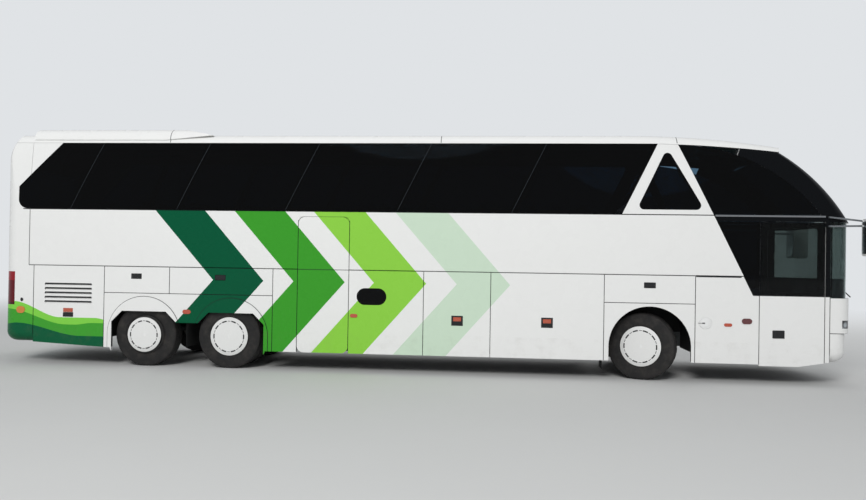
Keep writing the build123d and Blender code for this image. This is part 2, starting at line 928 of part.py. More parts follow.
# Windscreen frame: curved upper pillars, crossbar with header rails, lower pillars
pillar_band = side_half(round_region(PILLAR_RADIUS), RIGHT) + side_half(
    round_region(PILLAR_RADIUS), LEFT
)
upper_pillars = (dome_shell & above_crossbar) - pillar_band - flange_width
upper_pillars = upper_pillars - (screen_bed & screen_bed_width)
upper_pillars = (upper_pillars & under_roof) - roof_groove
crossbar_skin = dome_shell & box_between(
    PILLAR_X1 - WALL_T,
    FRONT_X,
    -BODY_WIDTH,
    BODY_WIDTH,
    LOWER_SCREEN_TOP_Z + GLASS_BED,
    UPPER_SCREEN_LOW_Z - GLASS_BED,
)
frame_pieces = upper_pillars + crossbar_skin
for side in SIDES.values():
    header = [
        (a_line_x(HEADER_LOW_Z), HEADER_LOW_Z),
        (PILLAR_X1, HEADER_LOW_Z),
        (PILLAR_X1, HEADER_TOP_Z),
        (a_line_x(HEADER_TOP_Z), HEADER_TOP_Z),
    ]
    frame_pieces = frame_pieces + (wall_form & side_half(side_region(header), side))
    strip = rect_region(DOOR_X1 + SEAM, PILLAR_X1, BUMPER_LOW_Z, HEADER_TOP_Z)
    frame_pieces = frame_pieces + (wall_form & side_half(strip, side))
    post_y = SIDE_Y - MASK_T - GLASS_BED
    frame_pieces = frame_pieces + box_between(
        DOOR_X1 + SEAM,
        PILLAR_X1 + POST_REACH,
        side * (post_y - POST_T),
        side * post_y,
        POST_LOW_Z,
        HEADER_TOP_Z,
    )
frame_pieces = frame_pieces + post_bracket(FRONT_POST_X, HEADER_LOW_Z, -INNER_Y + GLASS_BED)
finish(frame_pieces, "windscreen_frame")

# Fixed side glass: band, triangles, quarter lights, driver's window and front panes
front_pane_low = HEADER_TOP_Z + SEAM
for side in SIDES.values():
    pane = [
        (a_line_x(front_pane_low) + SEAM, front_pane_low),
        (FRONT_X, front_pane_low),
        (FRONT_X, ROOF_TOP_Z),
        (a_line_x(ROOF_TOP_Z) + SEAM, ROOF_TOP_Z),
    ]
    front_pane = glass_skin & side_half(side_region(pane), side)
    front_pane = front_pane & side_half(round_region(PILLAR_RADIUS - GLASS_BED), side)
    pane_solids.append(front_pane & side_half(below_cantrail(SEAM), side))

# Roof shell with the cut-outs of its two hatches
roof_shell = (wall_form - under_roof) & roof_block
roof_shell = roof_shell - roof_groove
hatch_solids = []
for x in HATCH_PLACES:
    low = box_between(
        x - HATCH_L / 2, x + HATCH_L / 2, -HATCH_W / 2, HATCH_W / 2, ROOF_TOP_Z - HATCH_D, POD_TOP_Z
    )
    roof_shell = roof_shell - low
    roof_shell = roof_shell - box_between(
        x - HATCH_L / 2 + WINDOW_FLANGE,
        x + HATCH_L / 2 - WINDOW_FLANGE,
        -HATCH_W / 2 + WINDOW_FLANGE,
        HATCH_W / 2 - WINDOW_FLANGE,
        ROOF_TOP_Z - 2 * WALL_T,
        POD_TOP_Z,
    )
    with BuildPart() as hatch:
        with BuildSketch(Plane.XY.offset(ROOF_TOP_Z - HATCH_D + GLASS_BED)) as frame_outline:
            with Locations((x, 0)):
                RectangleRounded(HATCH_L - 2 * GLASS_BED, HATCH_W - 2 * GLASS_BED, HATCH_R)
        extrude(amount=HATCH_D + HATCH_RISE)
        fillet(hatch.faces().sort_by(Axis.Z)[-1].edges(), HATCH_EDGE_R)
    hatch_solids.append(hatch.part)
finish(roof_shell, "roof_shell")
finish(union(hatch_solids), "roof_hatches")

# Roof pod over the rear, a second roof crown set on the shell
with BuildPart() as pod_block:
    extrude(section_fill(POD_FRONT_X, 0, POD_TOP_Z), amount=POD_REAR_X - POD_FRONT_X)
with BuildPart() as pod_profile:
    with BuildSketch(Plane.XZ) as pod_side:
        with BuildLine():
            Line((POD_REAR_X, POD_LOW_Z), (POD_REAR_X, POD_TOP_Z - POD_REAR_R))
            RadiusArc(
                (POD_REAR_X, POD_TOP_Z - POD_REAR_R),
                (POD_REAR_X + POD_REAR_R, POD_TOP_Z),
                POD_REAR_R,
            )
            Line((POD_REAR_X + POD_REAR_R, POD_TOP_Z), (POD_SLOPE_X, POD_TOP_Z))
            Line((POD_SLOPE_X, POD_TOP_Z), (POD_FRONT_X, POD_FRONT_Z))
            Line((POD_FRONT_X, POD_FRONT_Z), (POD_SLOPE_X, POD_LOW_Z))
            Line((POD_SLOPE_X, POD_LOW_Z), (POD_REAR_X, POD_LOW_Z))
        make_face()
    extrude(amount=BODY_WIDTH, both=True)
roof_pod = (pod_block.part & pod_profile.part) - outer_form
finish(roof_pod, "roof_pod")


# Rear end: wall with rounded foot, cut for the lid, the lamps and the rear window
def rear_foot(inset):
    """Block whose lower rear edge is rounded, drawn in by inset."""
    with BuildPart() as foot_block:
        extrude(rear_plan(REAR_SKIRT_Z + inset, 0, inset), amount=POD_TOP_Z)
        low_edges = foot_block.faces().sort_by(Axis.Z)[0].edges()
        fillet(low_edges.sort_by(Axis.X)[:-1], BUMPER_ROUND_R - inset)
    return foot_block.part


rear_profile = [
    (REAR_X - SEAM, REAR_SKIRT_Z - SEAM),
    (ENGINE_FLAP_X0 - SEAM, REAR_SKIRT_Z - SEAM),
    (ENGINE_FLAP_X0 - SEAM, BELT_Z),
    (REAR_CORNER_X - SEAM / 2, BELT_Z),
    (REAR_CORNER_X - SEAM / 2, ROOF_TOP_Z),
    (REAR_X - SEAM, ROOF_TOP_Z),
]
rear_prism = side_half(side_region(rear_profile), RIGHT) + side_half(
    side_region(rear_profile), LEFT
)
rear_join_z = REAR_SKIRT_Z + BUMPER_ROUND_R + SEAM
rear_upper = (wall_form & rear_prism) & box_between(
    REAR_X, 0, -BODY_WIDTH, BODY_WIDTH, rear_join_z, ROOF_TOP_Z
)
rear_upper = (rear_upper & under_roof) - roof_groove
rear_lower = (rear_foot(0) - rear_foot(WALL_T)) & box_between(
    REAR_X, ENGINE_FLAP_X0 - SEAM, -BODY_WIDTH, BODY_WIDTH, 0, rear_join_z
)
foot_hole = box_between(
    REAR_X + 2 * BUMPER_ROUND_R, 0, -REAR_HOLE_Y, REAR_HOLE_Y, 0, rear_join_z
)
rear_wall = rear_upper + (rear_lower - foot_hole)


def rear_prism_cut(half_width, z0, z1, radius, grow=0):
    """Prism seen from behind, for openings in the rear wall."""
    with BuildPart() as prism:
        with BuildSketch(Plane.YZ.offset(REAR_X - SEAM)) as rear_outline:
            with Locations((0, (z0 + z1) / 2)):
                RectangleRounded(2 * (half_width + grow), z1 - z0 + 2 * grow, radius)
        extrude(amount=REAR_CUT_D)
    return prism.part


rear_wall = rear_wall - rear_prism_cut(
    LID_HALF_W + SEAM, LID_LOW_Z - LID_FOOT_GAP, LID_TOP_Z + GLASS_BED, LID_HOLE_R
)
rear_wall = rear_wall - rear_prism_cut(
    REAR_GLASS_HALF_W - WINDOW_FLANGE,
    REAR_GLASS_LOW_Z + WINDOW_FLANGE,
    REAR_GLASS_TOP_Z - WINDOW_FLANGE,
    WINDOW_FLANGE,
)
rear_glass_cut = rear_prism_cut(
    REAR_GLASS_HALF_W, REAR_GLASS_LOW_Z, REAR_GLASS_TOP_Z, REAR_GLASS_R, GLASS_BED
)
rear_wall = rear_wall - (rear_glass_cut & rebate_skin)
for side_name, side in SIDES.items():
    for cut in opening_cuts[side_name][:1] + glass_region_cuts[side_name][:1]:
        rear_wall = rear_wall - cut
rear_glass = rear_prism_cut(
    REAR_GLASS_HALF_W, REAR_GLASS_LOW_Z, REAR_GLASS_TOP_Z, REAR_GLASS_R
) & glass_skin
pane_solids.append(rear_glass)

# Tail lamps wrap the rear corners in cut-outs of the wall
lamp_boxes = [
    box_between(REAR_X - SEAM, TAIL_LAMP_X1, s * TAIL_LAMP_Y, s * BODY_WIDTH, TAIL_LAMP_Z0, TAIL_LAMP_Z1)
    for s in SIDES.values()
]
tail_lamps = union([wall_form & box for box in lamp_boxes])
for s in SIDES.values():
    rear_wall = rear_wall - box_between(
        REAR_X - SEAM,
        TAIL_LAMP_X1 + GLASS_BED,
        s * (TAIL_LAMP_Y - GLASS_BED),
        s * BODY_WIDTH,
        TAIL_LAMP_Z0 - GLASS_BED,
        TAIL_LAMP_Z1 + GLASS_BED,
    )
finish(tail_lamps, "tail_lamps")
rear_half = rear_wall & box_between(REAR_X - SEAM, 0, 0, BODY_WIDTH, 0, ROOF_TOP_Z)
finish(rear_half + rear_half.mirror(Plane.XZ), "rear_wall")

# Rear lid over the engine: curved plate with louvres, hung on a bead along its top edge
lid_top_z = LID_TOP_Z - BEAD_HINGE_R
rear_lid = wall_form & rear_prism_cut(LID_HALF_W, LID_LOW_Z, lid_top_z, LID_R)
with BuildPart() as lid_slots:
    with BuildSketch(Plane.YZ.offset(REAR_X - SEAM)) as lid_slot_outlines:
        for k in range(LID_LOUVRE_COUNT):
            with Locations((0, LID_LOUVRE_Z + k * LOUVRE_PITCH)):
                SlotOverall(2 * LID_LOUVRE_HALF_L, LOUVRE_H)
    extrude(amount=REAR_CUT_D)
with BuildPart() as lid_blades:
    for k in range(LID_LOUVRE_COUNT):
        z = LID_LOUVRE_Z + k * LOUVRE_PITCH
        with BuildSketch(Plane.XZ.offset(-LID_LOUVRE_HALF_L)) as lid_blade:
            with BuildLine():
                Polyline(
                    (REAR_X + LID_BLADE_INSET, z - LOUVRE_H / 2),
                    (REAR_X + LID_BLADE_INSET + LOUVRE_T, z - LOUVRE_H / 2),
                    (REAR_X + WALL_T, z + LOUVRE_H / 2),
                    (REAR_X + WALL_T - LOUVRE_T, z + LOUVRE_H / 2),
                    close=True,
                )
            make_face()
        extrude(amount=2 * LID_LOUVRE_HALF_L)
lid_blades_cut = (lid_blades.part & lid_slots.part) & wall_form
rear_lid = (rear_lid - lid_slots.part) + lid_blades_cut
lid_bead = rod_between(
    (REAR_X + BEAD_HINGE_R, -LID_BEAD_HALF_L, lid_top_z),
    (REAR_X + BEAD_HINGE_R, LID_BEAD_HALF_L, lid_top_z),
    BEAD_HINGE_R,
)
rear_lid = rear_lid + lid_bead
finish(rear_lid, "rear_lid")


def louvres(x0, x1, count, z_low, pitch, y_skin, thickness):
    """Slots and slanted blades of a grille in a panel on the right side."""
    with BuildPart() as slots:
        with BuildSketch(Plane.XZ.offset(-y_skin)) as slot_outlines:
            for k in range(count):
                with Locations(((x0 + x1) / 2, z_low + k * pitch)):
                    SlotOverall(x1 - x0, LOUVRE_H)
        extrude(amount=-thickness)
    with BuildPart() as blades:
        for k in range(count):
            z = z_low + k * pitch
            with BuildSketch(Plane.YZ.offset(x0)) as blade:
                with BuildLine():
                    Polyline(
                        (y_skin + LOUVRE_INSET, z - LOUVRE_H / 2),
                        (y_skin + LOUVRE_INSET + LOUVRE_T, z - LOUVRE_H / 2),
                        (y_skin + thickness, z + LOUVRE_H / 2),
                        (y_skin + thickness - LOUVRE_T, z + LOUVRE_H / 2),
                        close=True,
                    )
                make_face()
            extrude(amount=x1 - x0)
    return slots.part, blades.part & slots.part


def side_panel(outline, thickness):
    """Flat panel of the right side below the belt."""
    with BuildPart() as panel:
        with BuildSketch(Plane.XZ.offset(SIDE_Y)) as panel_outline:
            with BuildLine():
                Polyline(*outline, close=True)
            make_face()
        extrude(amount=-thickness)
    return panel.part


def pocket(x, z, width, height, depth, y_skin=SIDE_Y):
    """Recess for a latch handle in a panel of the right side."""
    with BuildPart() as recess:
        with BuildSketch(Plane.XZ.offset(y_skin)) as recess_outline:
            with Locations((x, z)):
                RectangleRounded(width, height, POCKET_R)
        extrude(amount=-depth)
    return recess.part


# Top-hinged flaps: name, x0, x1, foot z at x0 and x1, handle x
FLAP_ROWS = [
    ("engine_flap", ENGINE_FLAP_X0, ENGINE_FLAP_X1, REAR_SKIRT_Z, SKIRT_Z, -5710),
    ("luggage_flap_rear", FLAP_REAR_X0, FLAP_REAR_X1, SKIRT_Z, SKIRT_Z, 664),
    ("luggage_flap_front", FLAP_REAR_X1, FLAP_FRONT_X1, SKIRT_Z, SKIRT_Z, 2054),
]
for flap_name, x0, x1, foot0, foot1, handle_x in FLAP_ROWS:
    a = x0 + SEAM / 2
    b = x1 - SEAM / 2
    flap = side_panel([(a, foot0), (b, foot1), (b, BEAD_Z), (a, BEAD_Z)], FLAP_T)
    with BuildPart() as bead:
        with BuildSketch(Plane.YZ.offset(a)) as bead_round:
            with Locations((-BEAD_Y, BEAD_Z)):
                Circle(BEAD_HINGE_R)
        extrude(amount=b - a)
    flap = flap + bead.part
    flap = flap - pocket(handle_x, HANDLE_Z, HANDLE_W, HANDLE_H, HANDLE_D)
    if flap_name == "engine_flap":
        slots, blades = louvres(
            LOUVRE_X0, LOUVRE_X1, LOUVRE_COUNT, LOUVRE_LOW_Z, LOUVRE_PITCH, -SIDE_Y, FLAP_T
        )
        flap = (flap - slots) + blades
    finish(flap, f"{flap_name}_right")
    finish(flap.mirror(Plane.XZ), f"{flap_name}_left")

# Lift-off covers over the wheels: x0, x1, handle x
COVER_ROWS = [
    (ENGINE_FLAP_X1, TAG_COVER_X1, -4556),
    (TAG_COVER_X1, DRIVE_COVER_X1, -3156),
    (FLAP_FRONT_X1, FRONT_COVER_X1, 3602),
]
cover_solids = []
for x0, x1, handle_x in COVER_ROWS:
    a = x0 + SEAM / 2
    b = x1 - SEAM / 2
    low = SERVICE_SEAM_Z + SEAM / 2
    cover = side_panel([(a, low), (b, low), (b, PANEL_TOP_Z), (a, PANEL_TOP_Z)], WALL_T)
    cover = cover - pocket(handle_x, COVER_HANDLE_Z, HANDLE_W, COVER_HANDLE_H, HANDLE_D)
    cover_solids.append(cover)
    cover_solids.append(cover.mirror(Plane.XZ))
finish(union(cover_solids), "wheel_service_covers")


# Fixed skirt panels with their wheel arches
def arch_cutter(points):
    """Prism through the right side for a wheel opening."""
    with BuildPart() as cutter:
        with BuildSketch(Plane.XZ.offset(SIDE_Y + BODY_WIDTH / 10)) as arch_outline:
            with BuildLine():
                Polyline(*points, close=True)
            make_face()
        extrude(amount=-BODY_WIDTH / 2)
    return cutter.part


arch_x = FRONT_AXLE_X + ARCH_AHEAD
with BuildPart() as front_arch:
    with BuildSketch(Plane.XZ.offset(SIDE_Y + BODY_WIDTH / 10)) as front_arch_outline:
        with Locations((arch_x, ARCH_TOP_Z - ARCH_R)):
            Circle(ARCH_R)
        with Locations((arch_x, (ARCH_TOP_Z - ARCH_R) / 2)):
            Rectangle(2 * ARCH_R, ARCH_TOP_Z - ARCH_R)
    extrude(amount=-BODY_WIDTH / 2)

rear_arch = arch_cutter(
    [
        (TAG_AXLE_X - REAR_ARCH_HALF, 0),
        (DRIVE_ARCH_X + REAR_ARCH_HALF, 0),
        (DRIVE_ARCH_X + REAR_ARCH_HALF, REAR_ARCH_TOP_Z - REAR_ARCH_SLANT),
        (DRIVE_ARCH_X + REAR_ARCH_HALF - REAR_ARCH_SLANT, REAR_ARCH_TOP_Z),
        (DRIVE_ARCH_X - REAR_ARCH_HALF + REAR_ARCH_SLANT, REAR_ARCH_TOP_Z),
        (DRIVE_ARCH_X - REAR_ARCH_HALF, REAR_ARCH_TOP_Z - REAR_ARCH_SLANT),
        (TAG_AXLE_X + REAR_ARCH_HALF, REAR_ARCH_TOP_Z - REAR_ARCH_SLANT),
        (TAG_AXLE_X + REAR_ARCH_HALF - REAR_ARCH_SLANT, REAR_ARCH_TOP_Z),
        (TAG_AXLE_X - REAR_ARCH_HALF + REAR_ARCH_SLANT, REAR_ARCH_TOP_Z),
        (TAG_AXLE_X - REAR_ARCH_HALF, REAR_ARCH_TOP_Z - REAR_ARCH_SLANT),
    ]
)
with BuildPart() as flares:
    with BuildSketch(Plane.XZ.offset(SIDE_Y + FLARE_W)) as flare_outline:
        for x, toward in ((TAG_AXLE_X, -1), (DRIVE_ARCH_X, 1)):
            with Locations((x, FLARE_Z)):
                Circle(FLARE_R)
            with Locations((x + toward * FLARE_R / 2, (FLARE_Z + SKIRT_Z) / 2)):
                Rectangle(FLARE_R, FLARE_Z - SKIRT_Z)
        with Locations(((TAG_AXLE_X + DRIVE_ARCH_X) / 2, SKIRT_Z - FLARE_R / 2)):
            Rectangle(4 * FLARE_R, FLARE_R, mode=Mode.SUBTRACT)
    extrude(amount=-WALL_T)

GAP = SEAM / 2


def plain_panel(x0, x1, z0, z1):
    """Rectangular fixed panel of the right side, with half a seam all round."""
    return side_panel([(x0 + GAP, z0), (x1 - GAP, z0), (x1 - GAP, z1), (x0 + GAP, z1)], WALL_T)


rear_wheel_panel = plain_panel(ENGINE_FLAP_X1, DRIVE_COVER_X1, SKIRT_Z, SERVICE_SEAM_Z - GAP)
rear_wheel_panel = (rear_wheel_panel + flares.part) - rear_arch
front_wheel_panel = plain_panel(FLAP_FRONT_X1, FRONT_COVER_X1, SKIRT_Z, SERVICE_SEAM_Z - GAP)
front_wheel_panel = front_wheel_panel - front_arch.part
behind_door = plain_panel(DRIVE_COVER_X1, MID_DOOR_X0 - GAP, SKIRT_Z, PANEL_TOP_Z)
ahead_door = plain_panel(MID_DOOR_X1 + GAP, FLAP_REAR_X0, SKIRT_Z, PANEL_TOP_Z)
left_middle = plain_panel(DRIVE_COVER_X1, FLAP_REAR_X0, SKIRT_Z, PANEL_TOP_Z)
LAVATORY = ((LAVATORY_X0 + LAVATORY_X1) / 2, (LAVATORY_Z0 + LAVATORY_Z1) / 2)
LAVATORY_SIZE = (LAVATORY_X1 - LAVATORY_X0, LAVATORY_Z1 - LAVATORY_Z0)
with BuildPart() as lavatory_glass:
    with BuildSketch(Plane.XZ.offset(SIDE_Y)) as lavatory_outline:
        with Locations(LAVATORY):
            SlotOverall(*LAVATORY_SIZE)
    extrude(amount=-GLASS_T)
with BuildPart() as lavatory_hole:
    with BuildSketch(Plane.XZ.offset(SIDE_Y)) as lavatory_rebate:
        with Locations(LAVATORY):
            SlotOverall(LAVATORY_SIZE[0] + 2 * GLASS_BED, LAVATORY_SIZE[1] + 2 * GLASS_BED)
    extrude(amount=-GLASS_T - GLASS_BED)
    with BuildSketch(Plane.XZ.offset(SIDE_Y)) as lavatory_opening:
        with Locations(LAVATORY):
            SlotOverall(LAVATORY_SIZE[0] - WINDOW_FLANGE, LAVATORY_SIZE[1] - WINDOW_FLANGE)
    extrude(amount=-WALL_T)
ahead_door = ahead_door - lavatory_hole.part
finish(union(pane_solids + [lavatory_glass.part]), "fixed_windows")

right_front = side_panel(
    [
        (FRONT_COVER_X1 + GAP, SKIRT_Z),
        (DOOR_X0 - SEAM, SKIRT_Z),
        (DOOR_X0 - SEAM, DOOR_SPLIT_Z),
        (a_line_x(DOOR_SPLIT_Z) - SEAM, DOOR_SPLIT_Z),
        (a_line_x(PANEL_TOP_Z) - SEAM, PANEL_TOP_Z),
        (FRONT_COVER_X1 + GAP, PANEL_TOP_Z),
    ],
    WALL_T,
)
left_front = side_panel(
    [
        (FRONT_COVER_X1 + GAP, SKIRT_Z),
        (DOOR_X1, SKIRT_Z),
        (DOOR_X1, DOOR_SPLIT_Z),
        (a_line_x(DOOR_SPLIT_Z) - SEAM, DOOR_SPLIT_Z),
        (a_line_x(PANEL_TOP_Z) - SEAM, PANEL_TOP_Z),
        (FRONT_COVER_X1 + GAP, PANEL_TOP_Z),
    ],
    WALL_T,
)
right_panels = [rear_wheel_panel, front_wheel_panel, behind_door, ahead_door, right_front]
left_panels = [p.mirror(Plane.XZ) for p in (rear_wheel_panel, front_wheel_panel, left_middle, left_front)]
finish(union(right_panels + left_panels), "skirt_panels")

# Front mask with headlamps, and the bumper below it
mask = ring_between(MASK_SPLIT_Z, MASK_TOP_Z, MASK_X, MASK_T, PILLAR_X1 + GAP)
headlamp_solids = []
for s in SIDES.values():
    lamp_box = box_between(
        HEADLAMP_X, FRONT_X + SEAM, s * HEADLAMP_Y, s * BODY_WIDTH, HEADLAMP_Z0, HEADLAMP_Z1
    )
    lamp_cut = box_between(
        HEADLAMP_X - GLASS_BED,
        FRONT_X + SEAM,
        s * (HEADLAMP_Y - GLASS_BED),
        s * BODY_WIDTH,
        HEADLAMP_Z0 - GLASS_BED,
        HEADLAMP_Z1 + GLASS_BED,
    )
    headlamp_solids.append(mask & lamp_box)
    mask = mask - lamp_cut
finish(union(headlamp_solids), "headlamps")
finish(mask, "front_mask")

with BuildPart() as bumper_block:
    extrude(
        front_plan(BUMPER_LOW_Z, BUMPER_X, PILLAR_X1 + GAP, 0),
        amount=MASK_SPLIT_Z - SEAM - BUMPER_LOW_Z,
    )
    bumper_edges = bumper_block.faces().sort_by(Axis.Z)[0].edges()
    fillet(bumper_edges.sort_by(Axis.X)[1:], BUMPER_ROUND_R)
with BuildPart() as bumper_core:
    extrude(
        front_plan(BUMPER_LOW_Z + BUMPER_T, BUMPER_X, PILLAR_X1 - BUMPER_ROUND_R, BUMPER_T),
        amount=MASK_SPLIT_Z,
    )
    core_edges = bumper_core.faces().sort_by(Axis.Z)[0].edges()
    fillet(core_edges.sort_by(Axis.X)[1:], BUMPER_ROUND_R - BUMPER_T)
bumper = bumper_block.part - bumper_core.part
bumper = bumper - box_between(
    PILLAR_X1, BUMPER_X - 2 * BUMPER_ROUND_R, -REAR_HOLE_Y, REAR_HOLE_Y, 0, MASK_SPLIT_Z
)
# Three sections; the floor of the middle one stops short of the tow eye, which is reached from below
bumper = bumper - box_between(
    PILLAR_X1, TOW_WAY_X, -BUMPER_JOINT_Y, BUMPER_JOINT_Y, 0, MASK_SPLIT_Z
)
for s in SIDES.values():
    bumper = bumper - box_between(
        PILLAR_X1,
        FRONT_X,
        s * BUMPER_JOINT_Y,
        s * (BUMPER_JOINT_Y + GLASS_BED),
        0,
        MASK_SPLIT_Z,
    )
finish(bumper, "front_bumper")


# Plug doors on turning posts: each leaf keeps its heading while the arms carry it aside
def arm_points(post_x, way, reach):
    """Post, bend and leaf pivot of a door arm in plan; way is the closed arm's direction."""
    rest = math.radians(ARM_REST_DEG)
    post = (post_x, -ARM_POST_Y)
    bend = (post_x + way * ARM_BEND_ALONG, -ARM_POST_Y + ARM_BEND_IN)
    pivot = (post_x + way * reach * math.cos(rest), -ARM_POST_Y + reach * math.sin(rest))
    return post, bend, pivot


def door_arm(post_x, way, reach, levels, top_z):
    """Turning post with its bent arms."""
    post, bend, pivot = arm_points(post_x, way, reach)
    arm = cylinder_between(post[0], post[1], STEP_Z + GLASS_BED, top_z, ARM_POST_R)
    for level in levels:
        for p, q in ((post, bend), (bend, pivot)):
            length = math.hypot(q[0] - p[0], q[1] - p[1])
            with BuildPart() as bar:
                with BuildSketch(Plane.XY.offset(level - ARM_BAR_T / 2)) as bar_outline:
                    with Locations(((p[0] + q[0]) / 2, (p[1] + q[1]) / 2)):
                        SlotCenterToCenter(length, ARM_BAR_W, rotation=heading(p, q))
                extrude(amount=ARM_BAR_T)
            arm = arm + bar.part
        hole_z = level - ARM_BAR_T
        arm = arm - cylinder_between(
            pivot[0], pivot[1], hole_z, hole_z + 2 * ARM_BAR_T, ARM_PIN_R + RUN_CLEARANCE
        )
    return arm


def leaf_lugs(post_x, way, reach, levels):
    """Brackets and pins that hang a door leaf on its arms."""
    post, bend, pivot = arm_points(post_x, way, reach)
    lugs = []
    for level in levels:
        top = level - ARM_BAR_T / 2 - GLASS_BED
        plate = box_between(
            pivot[0] - LUG_HALF_W,
            pivot[0] + LUG_HALF_W,
            -INNER_Y - LUG_ROOT,
            pivot[1] + LUG_HALF_W,
            top - LUG_T,
            top,
        )
        pin_top = level + ARM_BAR_T / 2 + PIN_PROUD
        pin = cylinder_between(pivot[0], pivot[1], top - LUG_T, pin_top, ARM_PIN_R)
        lugs.append(plate + pin)
    return union(lugs)


door_outline = [
    (DOOR_X0, DOOR_LOW_Z),
    (DOOR_SLOPE_X, DOOR_LOW_Z),
    (DOOR_X1, DOOR_FRONT_LOW_Z),
    (DOOR_X1, DOOR_TOP_Z),
    (DOOR_X0, DOOR_TOP_Z),
]
door_glass_region = rect_region(
    DOOR_X0 + DOOR_FRAME_W,
    DOOR_X1 - DOOR_FRAME_W,
    DOOR_SPLIT_Z + DOOR_FRAME_W,
    DOOR_TOP_Z - DOOR_FRAME_W,
)
door_glass_rebate = rect_region(
    DOOR_X0 + DOOR_FRAME_W - GLASS_BED,
    DOOR_X1 - DOOR_FRAME_W + GLASS_BED,
    DOOR_SPLIT_Z + DOOR_FRAME_W - GLASS_BED,
    DOOR_TOP_Z - DOOR_FRAME_W + GLASS_BED,
)
door_opening = rect_region(
    DOOR_SIGHT_X0, DOOR_SIGHT_X1, DOOR_SIGHT_Z0, DOOR_SIGHT_Z1, DOOR_CORNER_R / 2
)
front_door = wall_form & side_half(side_region(door_outline), RIGHT)
front_door = front_door - (rebate_skin & side_half(door_glass_rebate, RIGHT))
front_door = front_door - side_half(door_opening, RIGHT)
front_door = front_door - pocket(DOOR_HANDLE_X, DOOR_HANDLE_Z, HANDLE_W, DOOR_HANDLE_H, HANDLE_D)
front_door = front_door + leaf_lugs(FRONT_POST_X, 1, ARM_R, FRONT_ARM_LEVELS)
finish(front_door, "front_door")
finish(glass_skin & side_half(door_glass_region, RIGHT), "front_door_glass")
front_arm = door_arm(FRONT_POST_X, 1, ARM_R, FRONT_ARM_LEVELS, FRONT_POST_TOP_Z)
finish(front_arm, "front_door_arm")

mid_outline = rect_region(MID_DOOR_X0, MID_DOOR_X1, SKIRT_Z, MID_DOOR_TOP_Z, DOOR_CORNER_R)
mid_door = wall_form & side_half(mid_outline, RIGHT)
mid_door = mid_door + leaf_lugs(MID_POST_X, -1, MID_ARM_R, MID_ARM_LEVELS)
finish(mid_door, "mid_door")
mid_arm = door_arm(MID_POST_X, -1, MID_ARM_R, MID_ARM_LEVELS, MID_POST_TOP_Z)
finish(mid_arm, "mid_door_arm")

# Side markers on the fixed panels: x0, x1, z0, z1
MARKER_ROWS = [
    (-6601, -6455, 823, 937),
    (-3770, -3635, 869, 936),
    (-1032, -912, 870, 927),
    (4706, 4824, 859, 908),
    (4966, 5116, 902, 986),
]
marker_solids = []
for x0, x1, z0, z1 in MARKER_ROWS:
    with BuildPart() as marker:
        with BuildSketch(Plane.XZ.offset(SIDE_Y)) as marker_outline:
            with Locations(((x0 + x1) / 2, (z0 + z1) / 2)):
                SlotOverall(x1 - x0, z1 - z0)
        extrude(amount=MARKER_T)
    marker_solids.append(marker.part)
    marker_solids.append(marker.part.mirror(Plane.XZ))
finish(union(marker_solids), "side_markers")

# Floors: passenger deck, cockpit floor, and stairs with treads and risers
deck_y = INNER_Y - RAIL_SIDE_T - 2 * GLASS_BED
passenger_deck = box_between(DECK_REAR_X, DECK_FRONT_X, -deck_y, deck_y, DECK_Z - DECK_T, DECK_Z)
passenger_deck = passenger_deck - box_between(
    MID_DOOR_X0 - SEAM, MID_DOOR_X1 + SEAM, -BODY_WIDTH, MID_STAIR_IN_Y, 0, ROOF_TOP_Z
)
passenger_deck = passenger_deck + box_between(
    DECK_FRONT_X - PLATE_T, DECK_FRONT_X, -deck_y, deck_y, COCKPIT_Z, DECK_Z - DECK_T
)
finish(passenger_deck, "passenger_deck")

floor_y = INNER_Y - GLASS_BED
post_inner_y = SIDE_Y - MASK_T - GLASS_BED - POST_T
cockpit_floor = box_between(
    DECK_FRONT_X, DOOR_X1, -floor_y, floor_y, COCKPIT_Z - PLATE_T, COCKPIT_Z
) + box_between(
    DOOR_X1,
    COCKPIT_FRONT_X,
    -post_inner_y + GLASS_BED,
    post_inner_y - GLASS_BED,
    COCKPIT_Z - PLATE_T,
    COCKPIT_Z,
)
with BuildPart() as nose_plan:
    extrude(
        front_plan(COCKPIT_Z - PLATE_T, MASK_X, DECK_FRONT_X, MASK_T + GLASS_BED),
        amount=PLATE_T,
    )
cockpit_floor = cockpit_floor & (
    nose_plan.part
    + box_between(DECK_FRONT_X, DOOR_X1, -floor_y, floor_y, COCKPIT_Z - PLATE_T, COCKPIT_Z)
)
cockpit_floor = cockpit_floor - box_between(
    FRONT_STAIR_X0, FRONT_STAIR_X1, -BODY_WIDTH, FRONT_STAIR_IN_Y, 0, COCKPIT_Z
)
finish(cockpit_floor, "cockpit_floor")


def stairs(x0, x1, rows):
    """Stairs that rise from the right side inwards; rows of outer y and tread z."""
    flight = []
    for (y0, z0), (y1, z1) in zip(rows, rows[1:]):
        tread = box_between(x0, x1, y0, y1 + TREAD_T, z0 - TREAD_T, z0)
        riser = box_between(x0, x1, y1, y1 + TREAD_T, z0, z1 - GLASS_BED)
        flight.append(tread + riser)
    return union(flight)


